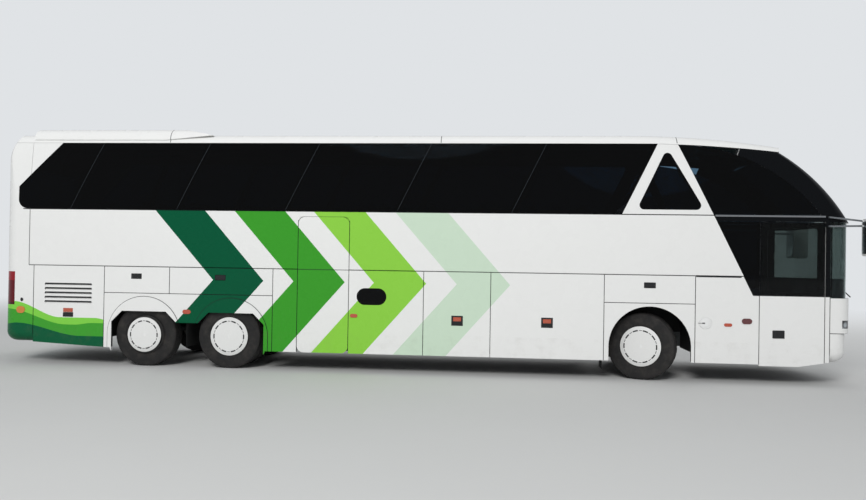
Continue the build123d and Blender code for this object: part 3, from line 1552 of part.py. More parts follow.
front_stairs = stairs(
    FRONT_STAIR_X0 + SEAM,
    FRONT_STAIR_X1 - SEAM,
    [(-STAIR_OUT_Y, STEP_Z), (-900, 655), (FRONT_STAIR_IN_Y - TREAD_T, COCKPIT_Z - PLATE_T)],
)
mid_stairs = stairs(
    MID_DOOR_X0,
    MID_DOOR_X1,
    [
        (-STAIR_OUT_Y, STEP_Z),
        (-975, 670),
        (-725, 980),
        (-475, 1290),
        (MID_STAIR_IN_Y - TREAD_T, DECK_Z - DECK_T),
    ],
)
aisle_steps = box_between(
    DECK_FRONT_X, DECK_FRONT_X + 2 * AISLE_TREAD, -AISLE_HALF_W, AISLE_HALF_W, COCKPIT_Z, AISLE_Z0
) + box_between(
    DECK_FRONT_X, DECK_FRONT_X + AISLE_TREAD, -AISLE_HALF_W, AISLE_HALF_W, AISLE_Z0, AISLE_Z1
)
finish(union([front_stairs, mid_stairs, aisle_steps]), "steps")

# Underframe: rails, cross members, luggage floor and bulkheads, each member on its own bed
frame_boxes = []
rail_in = RAIL_Y - RAIL_W / 2
rail_out = RAIL_Y + RAIL_W / 2
rail_top_z = RAIL_Z + RAIL_H
for s in SIDES.values():
    y0 = s * rail_in
    y1 = s * rail_out
    front_x = BULKHEAD_FRONT_X + GLASS_BED
    rear_x = BULKHEAD_REAR_X - GLASS_BED
    drop_x = RAIL_REAR_X + PLATE_T
    drop_z = BEARER_TOP_Z + GLASS_BED
    frame_boxes.append(box_between(front_x, RAIL_FRONT_X, y0, y1, RAIL_Z, rail_top_z))
    frame_boxes.append(box_between(RAIL_REAR_X, rear_x, y0, y1, RAIL_Z, rail_top_z))
    frame_boxes.append(box_between(RAIL_REAR_X, drop_x, y0, y1, drop_z, RAIL_Z - GLASS_BED))
    frame_boxes.append(box_between(BEARER_REAR_X, drop_x, y0, y1, BEARER_Z, BEARER_TOP_Z))
for x in (RAIL_FRONT_X - RAIL_W, BULKHEAD_REAR_X - RAIL_W, RAIL_REAR_X + PLATE_T):
    member_y = rail_in - GLASS_BED
    frame_boxes.append(box_between(x, x + RAIL_W / 2, -member_y, member_y, RAIL_Z, rail_top_z))
stair_x0 = MID_DOOR_X0 - PLATE_T
stair_x1 = MID_DOOR_X1 + PLATE_T
floor_rows = [
    (BULKHEAD_REAR_X, stair_x0 - GLASS_BED, -BAY_HALF_W),
    (stair_x0, stair_x1, MID_STAIR_IN_Y + PLATE_T),
    (stair_x1 + GLASS_BED, BULKHEAD_FRONT_X, -BAY_HALF_W),
]
for x0, x1, y0 in floor_rows:
    frame_boxes.append(box_between(x0, x1, y0, BAY_HALF_W, BAY_FLOOR_Z - PLATE_T, BAY_FLOOR_Z))
bulkhead_z0 = BAY_FLOOR_Z + GLASS_BED
bulkhead_z1 = DECK_Z - DECK_T - GLASS_BED
for x in (BULKHEAD_REAR_X, FLAP_REAR_X0 - 2 * BULKHEAD_T, BULKHEAD_FRONT_X - BULKHEAD_T):
    frame_boxes.append(
        box_between(x, x + BULKHEAD_T, -floor_y, floor_y, bulkhead_z0, bulkhead_z1)
    )
tow_plate = box_between(
    RAIL_FRONT_X - RAIL_W / 2 + GLASS_BED,
    TOW_EYE_X + TOW_EYE_W,
    -TOW_EYE_W,
    TOW_EYE_W,
    TOW_EYE_Z,
    TOW_EYE_Z + TOW_EYE_T,
)
tow_plate = tow_plate - cylinder_between(TOW_EYE_X, 0, 0, ROOF_TOP_Z, TOW_PIN_D / 2)
frame_boxes.append(tow_plate)
# Belt rails behind the seam that carries the flaps and covers: side, x0, x1
rail_rows = [
    (RIGHT, REAR_CORNER_X + SEAM, MID_DOOR_X0 - 2 * SEAM),
    (RIGHT, MID_DOOR_X1 + 2 * SEAM, BELT_RAIL_FRONT_X),
    (LEFT, REAR_CORNER_X + SEAM, BELT_RAIL_FRONT_X),
]
for s, x0, x1 in rail_rows:
    frame_boxes.append(
        box_between(x0, x1, s * (floor_y - RAIL_SIDE_T), s * floor_y, BELT_RAIL_Z0, BELT_RAIL_Z1)
    )
finish(union(frame_boxes), "underframe")


# Wheel housings: sheet trays over the wheels
def housing(x0, x1, inner_y, low_z):
    """Tray of the right side, open below and to the outside."""
    tray = box_between(x0, x1, -floor_y, -inner_y, low_z, HOUSING_TOP_Z)
    hollow = box_between(
        x0 + HOUSING_T, x1 - HOUSING_T, -BODY_WIDTH, -inner_y - HOUSING_T, 0, HOUSING_TOP_Z - HOUSING_T
    )
    low_wall = box_between(x0 + HOUSING_T, x1 - HOUSING_T, -floor_y, 0, 0, HOUSING_WALL_Z)
    return (tray - hollow) - low_wall


front_tray = housing(
    FRONT_AXLE_X - HOUSING_HALF, FRONT_AXLE_X + HOUSING_HALF, FRONT_HOUSING_Y, HOUSING_LOW_Z
)
rear_tray = housing(
    TAG_AXLE_X - HOUSING_HALF + SEAM, DRIVE_AXLE_X + HOUSING_HALF, REAR_HOUSING_Y, HOUSING_LOW_Z
)
trays = [front_tray, rear_tray]
finish(union(trays + [t.mirror(Plane.XZ) for t in trays]), "wheel_housings")


# Front axle beam with kingpins, rear axle tubes with spindles, and air springs
with BuildPart() as beam:
    with BuildSketch(Plane.XZ.offset(-BEAM_HALF_L)) as beam_section:
        with Locations((FRONT_AXLE_X, (BEAM_Z0 + BEAM_Z1) / 2)):
            Rectangle(BEAM_W, BEAM_Z1 - BEAM_Z0)
            with Locations((BEAM_W / 2, 0), (-BEAM_W / 2, 0)):
                Rectangle(BEAM_W / 2, (BEAM_Z1 - BEAM_Z0) * BEAM_WAIST, mode=Mode.SUBTRACT)
    extrude(amount=2 * BEAM_HALF_L)
front_axle = beam.part
for s in SIDES.values():
    eye = cylinder_between(FRONT_AXLE_X, s * KINGPIN_Y, EYE_Z0, EYE_Z1, EYE_R)
    pin = cylinder_between(FRONT_AXLE_X, s * KINGPIN_Y, LUG_LOW_Z, LUG_HIGH_Z, KINGPIN_R)
    front_axle = (front_axle + eye) + pin
finish(front_axle, "front_axle")

rear_axle_solids = []
for axle_x, wheel_y in ((DRIVE_AXLE_X, TWIN_WHEEL_Y), (TAG_AXLE_X, TAG_WHEEL_Y)):
    axle = rod_between((axle_x, -AXLE_TUBE_END, AXLE_Z), (axle_x, AXLE_TUBE_END, AXLE_Z), AXLE_TUBE_R)
    tip_y = wheel_y + SPINDLE_PAST
    axle = axle + rod_between((axle_x, -tip_y, AXLE_Z), (axle_x, tip_y, AXLE_Z), SPINDLE_R)
    if axle_x == DRIVE_AXLE_X:
        with BuildPart() as final_drive:
            with Locations((axle_x, 0, AXLE_Z)):
                Sphere(DIFF_R)
        axle = axle + final_drive.part
    rear_axle_solids.append(axle)
finish(union(rear_axle_solids), "rear_axles")

spring_solids = []
spring_rows = [
    (FRONT_AXLE_X, BEAM_Z1),
    (DRIVE_AXLE_X, AXLE_Z + AXLE_TUBE_R),
    (TAG_AXLE_X, AXLE_Z + AXLE_TUBE_R),
]
for x, seat_z in spring_rows:
    for s in SIDES.values():
        z0 = seat_z + GLASS_BED
        z1 = RAIL_Z - GLASS_BED
        with BuildPart() as spring:
            with BuildSketch(Plane.XZ.offset(-s * RAIL_Y)) as bellows:
                with BuildLine():
                    Line((x, z0), (x + SPRING_R * SPRING_NECK, z0))
                    Line((x + SPRING_R * SPRING_NECK, z0), (x + SPRING_R, z0 + (z1 - z0) / 3))
                    Line((x + SPRING_R, z0 + (z1 - z0) / 3), (x + SPRING_R, z1))
                    Line((x + SPRING_R, z1), (x, z1))
                    Line((x, z1), (x, z0))
                make_face()
            revolve(axis=Axis((x, s * RAIL_Y, 0), (0, 0, 1)))
        spring_solids.append(spring.part)
finish(union(spring_solids), "air_springs")


# Steered front wheels stand turned to the right at rest
def steered(s):
    """Plane at a kingpin, its X forward along the turned wheel, its Y outward."""
    turn = math.radians(-STEER_REST)
    return Plane(
        origin=(FRONT_AXLE_X, s * KINGPIN_Y, 0),
        x_dir=(math.cos(turn), math.sin(turn), 0),
        z_dir=(0, 0, 1),
    )


def knuckle(s):
    """Steering knuckle: two lugs about the kingpin, web, spindle and steering arm."""
    with BuildPart() as body:
        for z0, z1 in ((LUG_LOW_Z, EYE_Z0 - THRUST_GAP), (EYE_Z1 + THRUST_GAP, LUG_HIGH_Z)):
            with BuildSketch(steered(s).offset(z0)) as lug_outline:
                Circle(KNUCKLE_R)
                with Locations((0, s * WEB_Y / 2)):
                    Rectangle(2 * KNUCKLE_R, WEB_Y)
                Circle(KINGPIN_R + RUN_CLEARANCE, mode=Mode.SUBTRACT)
            extrude(amount=z1 - z0)
        with BuildSketch(steered(s).offset(LUG_LOW_Z)) as web_outline:
            with Locations((0, s * (WEB_Y + WEB_T / 2))):
                Rectangle(2 * KNUCKLE_R, WEB_T)
        extrude(amount=LUG_HIGH_Z - LUG_LOW_Z)
        with BuildSketch(steered(s).offset(STEER_ARM_Z - STEER_ARM_T / 2)) as arm_outline:
            with Locations((-STEER_ARM / 2, 0)):
                SlotCenterToCenter(STEER_ARM, STEER_ARM_W)
            Circle(KINGPIN_R + RUN_CLEARANCE, mode=Mode.SUBTRACT)
        extrude(amount=STEER_ARM_T)
        with BuildSketch(steered(s).offset(TIE_ROD_Z - TIE_EYE_H / 2 - PIN_PROUD)) as ball_outline:
            with Locations((-STEER_ARM, 0)):
                Circle(BALL_PIN_R)
        extrude(amount=STEER_ARM_Z - TIE_ROD_Z + TIE_EYE_H / 2 + PIN_PROUD)
    frame = steered(s)
    outward = frame.y_dir * s
    root_point = frame.origin + Vector(0, 0, AXLE_Z) + outward * (WEB_Y + WEB_T / 2)
    tip_point = frame.origin + Vector(0, 0, AXLE_Z) + outward * (
        FRONT_WHEEL_Y - KINGPIN_Y + SPINDLE_PAST
    )
    return body.part + rod_between(root_point, tip_point, SPINDLE_R)


for side_name, s in SIDES.items():
    finish(knuckle(s), f"knuckle_{side_name}")

ball = steered(LEFT).origin + steered(LEFT).x_dir * (-STEER_ARM)
ball_y = [ball.Y, ball.Y - 2 * KINGPIN_Y]
tie_rod = rod_between(
    (ball.X, ball_y[1] + TIE_EYE_R / 2, TIE_ROD_Z),
    (ball.X, ball_y[0] - TIE_EYE_R / 2, TIE_ROD_Z),
    TIE_ROD_R,
)
for y in ball_y:
    tie_rod = tie_rod + cylinder_between(
        ball.X, y, TIE_ROD_Z - TIE_EYE_H / 2, TIE_ROD_Z + TIE_EYE_H / 2, TIE_EYE_R
    )
for y in ball_y:
    tie_rod = tie_rod - cylinder_between(
        ball.X, y, TIE_ROD_Z - TIE_EYE_H, TIE_ROD_Z + TIE_EYE_H, BALL_PIN_R + BALL_CLEARANCE
    )
finish(tie_rod, "tie_rod")


# Wheels: profiles across the wheel, from inboard to outboard, and radius
def wheel_plane(centre, outward):
    """Plane through the axle line: local X outward along the axle, local Y up."""
    return Plane(origin=centre, x_dir=outward, z_dir=outward.cross(Vector(0, 0, 1)))


def turned(plane, points):
    """Solid of revolution about the axle line."""
    with BuildPart() as ring:
        with BuildSketch(plane) as profile:
            with BuildLine():
                Polyline(*points, close=True)
            make_face()
        revolve(axis=Axis(plane.origin, plane.x_dir))
    return ring.part


def rim(plane, mid, face, root):
    """Rim barrel with flanges, and a dished disc from its root to a flat mounting face."""
    half = RIM_W / 2
    barrel = [
        (mid - half - RIM_LIP, RIM_R - RIM_T),
        (mid + half + RIM_LIP, RIM_R - RIM_T),
        (mid + half + RIM_LIP, RIM_FLANGE_R),
        (mid + half, RIM_FLANGE_R),
        (mid + half, RIM_R),
        (mid - half, RIM_R),
        (mid - half, RIM_FLANGE_R),
        (mid - half - RIM_LIP, RIM_FLANGE_R),
    ]
    disc = [
        (face, HUB_R - RIM_T),
        (face + RIM_T, HUB_R - RIM_T),
        (face + RIM_T, DISC_FACE_R),
        (mid + root + RIM_T, RIM_R - RIM_T / 2),
        (mid + root, RIM_R - RIM_T / 2),
        (face, DISC_FACE_R),
    ]
    return turned(plane, barrel) + turned(plane, disc)


def hub_cover(plane, radius, proud):
    """Dished wheel cover with a ring of slits, on a central boss."""
    lip = RIM_W / 2 + RIM_LIP + GLASS_BED + proud
    shell = [
        (lip, radius),
        (lip + COVER_T, radius),
        (lip + COVER_BEVEL, radius * COVER_FLAT),
        (lip + COVER_BULGE, 0),
        (lip + COVER_BULGE - COVER_T, 0),
        (lip + COVER_BEVEL - COVER_T, radius * COVER_FLAT - COVER_T / 2),
        (lip, radius - 2 * COVER_T),
    ]
    cover = turned(plane, shell)
    slit_plane = Plane(origin=plane.origin, x_dir=(0, 0, 1), z_dir=plane.x_dir)
    with BuildPart() as slits:
        with BuildSketch(slit_plane.offset(lip)) as slit_outlines:
            with PolarLocations(radius * COVER_SLIT_AT, COVER_SLOTS):
                Rectangle(COVER_SLOT_W, COVER_SLOT_L)
        extrude(amount=COVER_BULGE * 2)
    boss_from = SPINDLE_PAST + HUB_END_GAP + COVER_T
    boss = [
        (boss_from, 0),
        (lip + COVER_BULGE - COVER_T / 2, 0),
        (lip + COVER_BULGE - COVER_T / 2, COVER_BOSS_R),
        (boss_from, COVER_BOSS_R),
    ]
    return (cover - slits.part) + turned(plane, boss)


def hub(plane, inner, outer):
    """Hub barrel with its blind bore for the spindle."""
    barrel = [
        (inner, SPINDLE_R + RUN_CLEARANCE),
        (SPINDLE_PAST + HUB_END_GAP, SPINDLE_R + RUN_CLEARANCE),
        (SPINDLE_PAST + HUB_END_GAP, 0),
        (outer, 0),
        (outer, HUB_R),
        (inner, HUB_R),
    ]
    return turned(plane, barrel)


def tyre(plane, mid):
    """Tyre as a closed ring with arched sidewalls and a flat tread."""
    half = TYRE_W / 2
    shoulder_r = TYRE_R - SHOULDER_DROP
    with BuildPart() as ring:
        with BuildSketch(plane) as profile:
            with BuildLine():
                Line((mid - BEAD_HALF, BEAD_IN_R), (mid + BEAD_HALF, BEAD_IN_R))
                ThreePointArc(
                    (mid + BEAD_HALF, BEAD_IN_R), (mid + half, WAIST_R), (mid + TREAD_HALF, shoulder_r)
                )
                Line((mid + TREAD_HALF, shoulder_r), (mid + TREAD_HALF - SHOULDER_DROP, TYRE_R))
                Line(
                    (mid + TREAD_HALF - SHOULDER_DROP, TYRE_R),
                    (mid - TREAD_HALF + SHOULDER_DROP, TYRE_R),
                )
                Line((mid - TREAD_HALF + SHOULDER_DROP, TYRE_R), (mid - TREAD_HALF, shoulder_r))
                ThreePointArc(
                    (mid - TREAD_HALF, shoulder_r), (mid - half, WAIST_R), (mid - BEAD_HALF, BEAD_IN_R)
                )
            make_face()
        revolve(axis=Axis(plane.origin, plane.x_dir))
    return ring.part


for side_name, s in SIDES.items():
    steer_frame = steered(s)
    outward = steer_frame.y_dir * s
    straight = Vector(0, s, 0)
    front_centre = steer_frame.origin + Vector(0, 0, AXLE_Z) + outward * (FRONT_WHEEL_Y - KINGPIN_Y)
    plane = wheel_plane(front_centre, outward)
    wheel = rim(plane, 0, SINGLE_DISC_AT, DISC_ROOT) + hub(plane, -FRONT_HUB_IN, SINGLE_DISC_AT + RIM_T)
    finish(wheel + hub_cover(plane, COVER_R, 0), f"wheel_front_{side_name}")
    finish(tyre(plane, 0), f"tyre_front_{side_name}")

    plane = wheel_plane(Vector(TAG_AXLE_X, s * TAG_WHEEL_Y, AXLE_Z), straight)
    wheel = rim(plane, 0, SINGLE_DISC_AT, DISC_ROOT) + hub(plane, -TAG_HUB_IN, SINGLE_DISC_AT + RIM_T)
    finish(wheel + hub_cover(plane, TAG_COVER_R, TAG_COVER_PROUD), f"wheel_tag_{side_name}")
    finish(tyre(plane, 0), f"tyre_tag_{side_name}")

    plane = wheel_plane(Vector(DRIVE_AXLE_X, s * TWIN_WHEEL_Y, AXLE_Z), straight)
    face = -TWIN_SPACING / 2
    wheel = rim(plane, 0, face, -TWIN_ROOT)
    wheel = wheel + rim(plane, -TWIN_SPACING, face - RIM_T, TWIN_ROOT - RIM_T)
    wheel = wheel + hub(plane, -TWIN_HUB_IN, SINGLE_DISC_AT + RIM_T)
    finish(wheel + hub_cover(plane, COVER_R, 0), f"wheel_drive_{side_name}")
    finish(union([tyre(plane, 0), tyre(plane, -TWIN_SPACING)]), f"tyre_drive_{side_name}")

# Steering wheel, tilted back on its column, and the dashboard that holds the column
column = Plane(
    origin=(STEER_X, STEER_Y, STEER_Z),
    x_dir=(0, 1, 0),
    z_dir=(-math.sin(math.radians(STEER_TILT)), 0, math.cos(math.radians(STEER_TILT))),
)
with BuildPart() as steering_wheel:
    with BuildSketch(Plane(origin=column.origin, x_dir=column.x_dir, z_dir=column.y_dir)) as grip:
        with Locations((STEER_R, 0)):
            Circle(STEER_GRIP_R)
    revolve(axis=Axis(column.origin, column.z_dir))
    with BuildSketch(column.offset(-STEER_HUB_H)) as wheel_hub:
        Circle(STEER_HUB_R)
    extrude(amount=STEER_HUB_H + STEER_GRIP_R)
    with BuildSketch(column.offset(-STEER_GRIP_R / 2)) as spokes:
        for angle in STEER_SPOKES:
            with Locations(Location((0, 0, 0), (0, 0, angle))):
                with Locations((STEER_R / 2, 0)):
                    Rectangle(STEER_R, STEER_SPOKE_W)
    extrude(amount=STEER_GRIP_R)
finish(steering_wheel.part, "steering_wheel")

with BuildPart() as dash_outline:
    extrude(
        front_plan(COCKPIT_Z + GLASS_BED, MASK_X, DASH_X, MASK_T + SEAM), amount=DASH_TOP_Z - COCKPIT_Z
    )
dash_cut = box_between(DASH_X, DOOR_X1 + SEAM, -BODY_WIDTH, FRONT_STAIR_IN_Y, 0, ROOF_TOP_Z)
dashboard = dash_outline.part - dash_cut
for s in SIDES.values():
    dashboard = dashboard - box_between(
        DASH_X,
        PILLAR_X1 + POST_REACH,
        s * (post_inner_y - SEAM),
        s * BODY_WIDTH,
        0,
        ROOF_TOP_Z,
    )
dashboard = dashboard - box_between(DASH_X, KNEE_X1, KNEE_Y0, KNEE_Y1, 0, KNEE_TOP_Z)
column_top = column.origin - column.z_dir * (STEER_HUB_H + GLASS_BED)
column_foot = column.origin - column.z_dir * STEER_COLUMN_L
dashboard = dashboard + rod_between(column_foot, column_top, STEER_COLUMN_R)
finish(dashboard, "dashboard")


# Seats: double seats along the deck and the driver's seat
def seat(x, y, z, width):
    """Cushion, leaning back and leg of one seat facing forward."""
    with BuildPart() as back:
        with BuildSketch(Plane.XZ.offset(-y + width / 2)) as back_outline:
            lean = math.tan(math.radians(SEAT_LEAN))
            low = z + SEAT_CUSHION_T / 2
            high = low + SEAT_BACK_H
            shift = SEAT_BACK_H * lean
            with BuildLine():
                Polyline(
                    (x, low),
                    (x - SEAT_BACK_T, low),
                    (x - SEAT_BACK_T - shift, high - SEAT_HEAD_DROP),
                    (x - SEAT_BACK_T / 2 - shift, high),
                    (x - shift, high - SEAT_HEAD_DROP),
                    close=True,
                )
            make_face()
        extrude(amount=-width)
    cushion = box_between(
        x + GLASS_BED, x + SEAT_CUSHION_L, y - width / 2, y + width / 2, z, z + SEAT_CUSHION_T
    )
    leg = box_between(
        x + SEAT_LEG_X,
        x + SEAT_LEG_X + SEAT_LEG_L,
        y - SEAT_LEG_W,
        y + SEAT_LEG_W,
        z - SEAT_LEG_H,
        z - GLASS_BED,
    )
    return [back.part, cushion, leg]


seat_solids = []
for row in range(SEAT_ROWS):
    x = SEAT_FIRST_X - row * SEAT_PITCH
    for s in SIDES.values():
        over_stairs = s == RIGHT and x - SEAT_PITCH / 2 < MID_DOOR_X1 and x + SEAT_CUSHION_L > MID_DOOR_X0
        if not over_stairs:
            seat_solids.extend(seat(x, s * SEAT_Y, DECK_Z + SEAT_LEG_H + GLASS_BED, SEAT_W))
seat_solids.extend(seat(DRIVER_SEAT_X, STEER_Y, COCKPIT_Z + SEAT_LEG_H + GLASS_BED, DRIVER_SEAT_W))
finish(union(seat_solids), "seats")

# Engine as one closed block on its bearers
with BuildPart() as engine:
    with BuildSketch(Plane.XY.offset(BEARER_TOP_Z + GLASS_BED)) as engine_outline:
        with Locations(((ENGINE_X0 + ENGINE_X1) / 2, 0)):
            RectangleRounded(ENGINE_X1 - ENGINE_X0, 2 * ENGINE_HALF_W, ENGINE_R)
    extrude(amount=ENGINE_H)
finish(engine.part, "engine_block")

# Mirrors on pairs of tubes from the front pillars
mirror_solids = []
for s in SIDES.values():
    with BuildPart() as head:
        with BuildSketch(Plane.YZ.offset(MIRROR_X0)) as head_outline:
            with Locations((s * (MIRROR_Y0 + MIRROR_Y1) / 2, (MIRROR_Z0 + MIRROR_Z1) / 2)):
                RectangleRounded(MIRROR_Y1 - MIRROR_Y0, MIRROR_Z1 - MIRROR_Z0, MIRROR_R)
        extrude(amount=-REAR_X - MIRROR_X0)
        fillet(head.faces().sort_by(Axis.X)[-1].edges(), MIRROR_ROUND)
    mirror = head.part
    for foot_z, head_z in MIRROR_TUBES:
        foot_point = (MIRROR_FOOT_X, s * (SIDE_Y - MIRROR_TUBE_R), foot_z)
        elbow = (MIRROR_FOOT_X, s * (SIDE_Y + MIRROR_STEP), foot_z)
        head_point = (MIRROR_X0 + MIRROR_ROUND, s * (MIRROR_Y0 + MIRROR_ROUND), head_z)
        mirror = mirror + rod_between(foot_point, elbow, MIRROR_TUBE_R)
        mirror = mirror + rod_between(elbow, head_point, MIRROR_TUBE_R)
    mirror_solids.append(mirror)
mirrors = union(mirror_solids) - outer_form
finish(mirrors, "mirrors")
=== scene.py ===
import math

import bmesh
import bpy
from mathutils import Matrix, Vector


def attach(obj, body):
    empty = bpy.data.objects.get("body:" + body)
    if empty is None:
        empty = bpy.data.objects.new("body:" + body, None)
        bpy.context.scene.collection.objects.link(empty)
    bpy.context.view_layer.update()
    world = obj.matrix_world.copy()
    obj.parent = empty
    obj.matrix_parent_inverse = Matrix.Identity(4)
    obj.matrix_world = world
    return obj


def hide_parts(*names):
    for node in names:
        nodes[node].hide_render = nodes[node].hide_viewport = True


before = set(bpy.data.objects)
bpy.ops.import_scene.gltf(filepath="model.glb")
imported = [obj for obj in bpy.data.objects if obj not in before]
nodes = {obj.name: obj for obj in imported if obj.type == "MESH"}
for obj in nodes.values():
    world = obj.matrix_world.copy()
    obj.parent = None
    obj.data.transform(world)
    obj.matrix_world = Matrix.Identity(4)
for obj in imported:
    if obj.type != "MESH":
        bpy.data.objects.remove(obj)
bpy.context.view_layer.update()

RIGHT = -1
LEFT = 1
SIDE_Y = 1.275
AXLE_Z = 0.516


# Small tools for meshes
def new_piece(name, bm, body, material, smooth=True):
    """Turn a bmesh in the row frame into a piece that rides on a body."""
    bmesh.ops.recalc_face_normals(bm, faces=bm.faces)
    mesh = bpy.data.meshes.new(name)
    bm.to_mesh(mesh)
    bm.free()
    obj = bpy.data.objects.new(name, mesh)
    bpy.context.scene.collection.objects.link(obj)
    for polygon in mesh.polygons:
        polygon.use_smooth = smooth
    mesh.materials.append(material)
    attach(obj, body)
    return obj


def add_box(bm, low, high, bevel=0.0, segments=2):
    """Box between two corners, with rounded edges."""
    low, high = Vector(low), Vector(high)
    made = bmesh.ops.create_cube(bm, size=1.0)
    size = high - low
    for v in made["verts"]:
        v.co = Vector((v.co.x * size.x, v.co.y * size.y, v.co.z * size.z)) + (low + high) / 2
    if bevel:
        edges = list({e for v in made["verts"] for e in v.link_edges})
        bmesh.ops.bevel(bm, geom=edges, offset=bevel, segments=segments, profile=0.5, affect="EDGES")


def add_loft(bm, loops):
    """Closed skin through loops of equal length, capped at both ends."""
    rows = [[bm.verts.new(p) for p in loop] for loop in loops]
    for a, b in zip(rows, rows[1:]):
        for i in range(len(a)):
            j = (i + 1) % len(a)
            bm.faces.new((a[i], a[j], b[j], b[i]))
    bm.faces.new(list(reversed(rows[0])))
    bm.faces.new(rows[-1])


def add_tube(bm, points, radius, sides=12):
    """Round tube along a polyline."""
    loops = []
    for i, p in enumerate(points):
        p = Vector(p)
        a = Vector(points[max(i - 1, 0)])
        b = Vector(points[min(i + 1, len(points) - 1)])
        d = (b - a).normalized()
        side = d.cross(Vector((0, 0, 1)))
        if side.length < 0.01:
            side = d.cross(Vector((1, 0, 0)))
        side.normalize()
        up = side.cross(d)
        loops.append([
            p + (side * math.cos(t) + up * math.sin(t)) * radius
            for t in (2 * math.pi * k / sides for k in range(sides))
        ])
    add_loft(bm, loops)


def add_revolve(bm, centre, axis, profile, steps):
    """Profile (along, radius) turned about an axis through a centre, capped at both ends."""
    axis = Vector(axis).normalized()
    side = axis.cross(Vector((0, 0, 1)))
    if side.length < 0.01:
        side = Vector((1, 0, 0))
    side.normalize()
    up = side.cross(axis)
    rows = []
    for k in range(steps):
        t = 2 * math.pi * k / steps
        out = side * math.cos(t) + up * math.sin(t)
        rows.append([bm.verts.new(Vector(centre) + axis * a + out * r) for a, r in profile])
    for k in range(steps):
        a, b = rows[k], rows[(k + 1) % steps]
        for i in range(len(profile) - 1):
            bm.faces.new((a[i], a[i + 1], b[i + 1], b[i]))
    bm.faces.new([rows[k][0] for k in range(steps)])
    bm.faces.new([rows[k][-1] for k in reversed(range(steps))])


# Materials from nodes
def lin(r, g, b):
    """Linear colour of an 8-bit screen colour."""
    out = []
    for c in (r, g, b):
        c = c / 255
        out.append(c / 12.92 if c <= 0.04045 else ((c + 0.055) / 1.055) ** 2.4)
    return (*out, 1.0)


class Mat:
    """A material with a principled shader and short calls for its nodes."""

    def __init__(self, name):
        self.material = bpy.data.materials.new(name)
        self.material.use_nodes = True
        self.tree = self.material.node_tree
        self.tree.nodes.clear()
        self.bsdf = self.node("ShaderNodeBsdfPrincipled")
        out = self.node("ShaderNodeOutputMaterial")
        self.tree.links.new(self.bsdf.outputs[0], out.inputs[0])
        coords = self.node("ShaderNodeTexCoord")
        self.place = coords.outputs["Object"]
        split = self.node("ShaderNodeSeparateXYZ")
        self.link(self.place, split.inputs[0])
        self.x, self.y, self.z = split.outputs
        facing = self.node("ShaderNodeSeparateXYZ")
        self.link(coords.outputs["Normal"], facing.inputs[0])
        self.ny = facing.outputs[1]

    def node(self, kind):
        return self.tree.nodes.new(kind)

    def link(self, a, b):
        self.tree.links.new(a, b)

    def put(self, value, socket):
        if isinstance(value, bpy.types.NodeSocket):
            self.link(value, socket)
        else:
            socket.default_value = value

    def math(self, op, a, b=0.0, c=0.0):
        n = self.node("ShaderNodeMath")
        n.operation = op
        self.put(a, n.inputs[0])
        self.put(b, n.inputs[1])
        self.put(c, n.inputs[2])
        return n.outputs[0]

    def above(self, a, b):
        return self.math("GREATER_THAN", a, b)

    def both(self, *masks):
        out = masks[0]
        for m in masks[1:]:
            out = self.math("MULTIPLY", out, m)
        return out

    def either(self, *masks):
        out = masks[0]
        for m in masks[1:]:
            out = self.math("MAXIMUM", out, m)
        return out

    def between(self, a, low, high):
        return self.both(self.above(a, low), self.above(high, a))

    def slanted(self, foot_z, slant):
        """Run along X of a slanted line above its foot."""
        return self.math("MULTIPLY", self.math("SUBTRACT", self.z, foot_z), slant)

    def near(self, a, b, reach):
        return self.math("COMPARE", a, b, reach)

    def step(self, a, low, high):
        """Smooth step from 0 at low to 1 at high."""
        n = self.node("ShaderNodeMapRange")
        n.interpolation_type = "SMOOTHSTEP"
        self.put(a, n.inputs[0])
        n.inputs[1].default_value = low
        n.inputs[2].default_value = high
        return n.outputs[0]

    def noise(self, scale, detail=3.0, rough=0.5, stretch=None):
        n = self.node("ShaderNodeTexNoise")
        n.inputs["Scale"].default_value = scale
        n.inputs["Detail"].default_value = detail
        n.inputs["Roughness"].default_value = rough
        if stretch:
            m = self.node("ShaderNodeMapping")
            m.inputs["Scale"].default_value = stretch
            self.link(self.place, m.inputs[0])
            self.link(m.outputs[0], n.inputs["Vector"])
        else:
            self.link(self.place, n.inputs["Vector"])
        return n.outputs[0]

    def span(self, a, low, high):
        """A 0 to 1 value set to run from low to high."""
        n = self.node("ShaderNodeMapRange")
        self.put(a, n.inputs[0])
        n.inputs[3].default_value = low
        n.inputs[4].default_value = high
        return n.outputs[0]

    def mix(self, mask, a, b):
        n = self.node("ShaderNodeMix")
        n.data_type = "RGBA"
        self.put(mask, n.inputs[0])
        self.put(a, n.inputs[6])
        self.put(b, n.inputs[7])
        return n.outputs[2]

    def bump(self, height, strength, distance=0.001):
        n = self.node("ShaderNodeBump")
        n.inputs["Strength"].default_value = strength
        n.inputs["Distance"].default_value = distance
        self.link(height, n.inputs["Height"])
        self.link(n.outputs[0], self.bsdf.inputs["Normal"])

    def set(self, **values):
        for key, value in values.items():
            self.put(value, self.bsdf.inputs[key.replace("_", " ")])


WHITE = lin(230, 230, 228)
BLACK = lin(5, 7, 10)
LINING = lin(120, 124, 126)
DARK_GREEN = lin(0, 82, 52)
MID_GREEN = lin(58, 150, 42)
LIGHT_GREEN = lin(138, 202, 70)
PALE_GREEN = lin(198, 217, 196)
WAVE_LIGHT = lin(126, 203, 74)
WAVE_MID = lin(64, 154, 50)
WAVE_DARK = lin(12, 88, 56)

CHEVRON_TIP_Z = 1.424
CHEVRON_SLOPE = 0.88
CHEVRON_W = 0.83
CHEVRON_TOP_Z = 2.54
CHEVRONS = [(-3.275, DARK_GREEN), (-1.955, MID_GREEN), (-0.66, LIGHT_GREEN), (0.65, PALE_GREEN)]

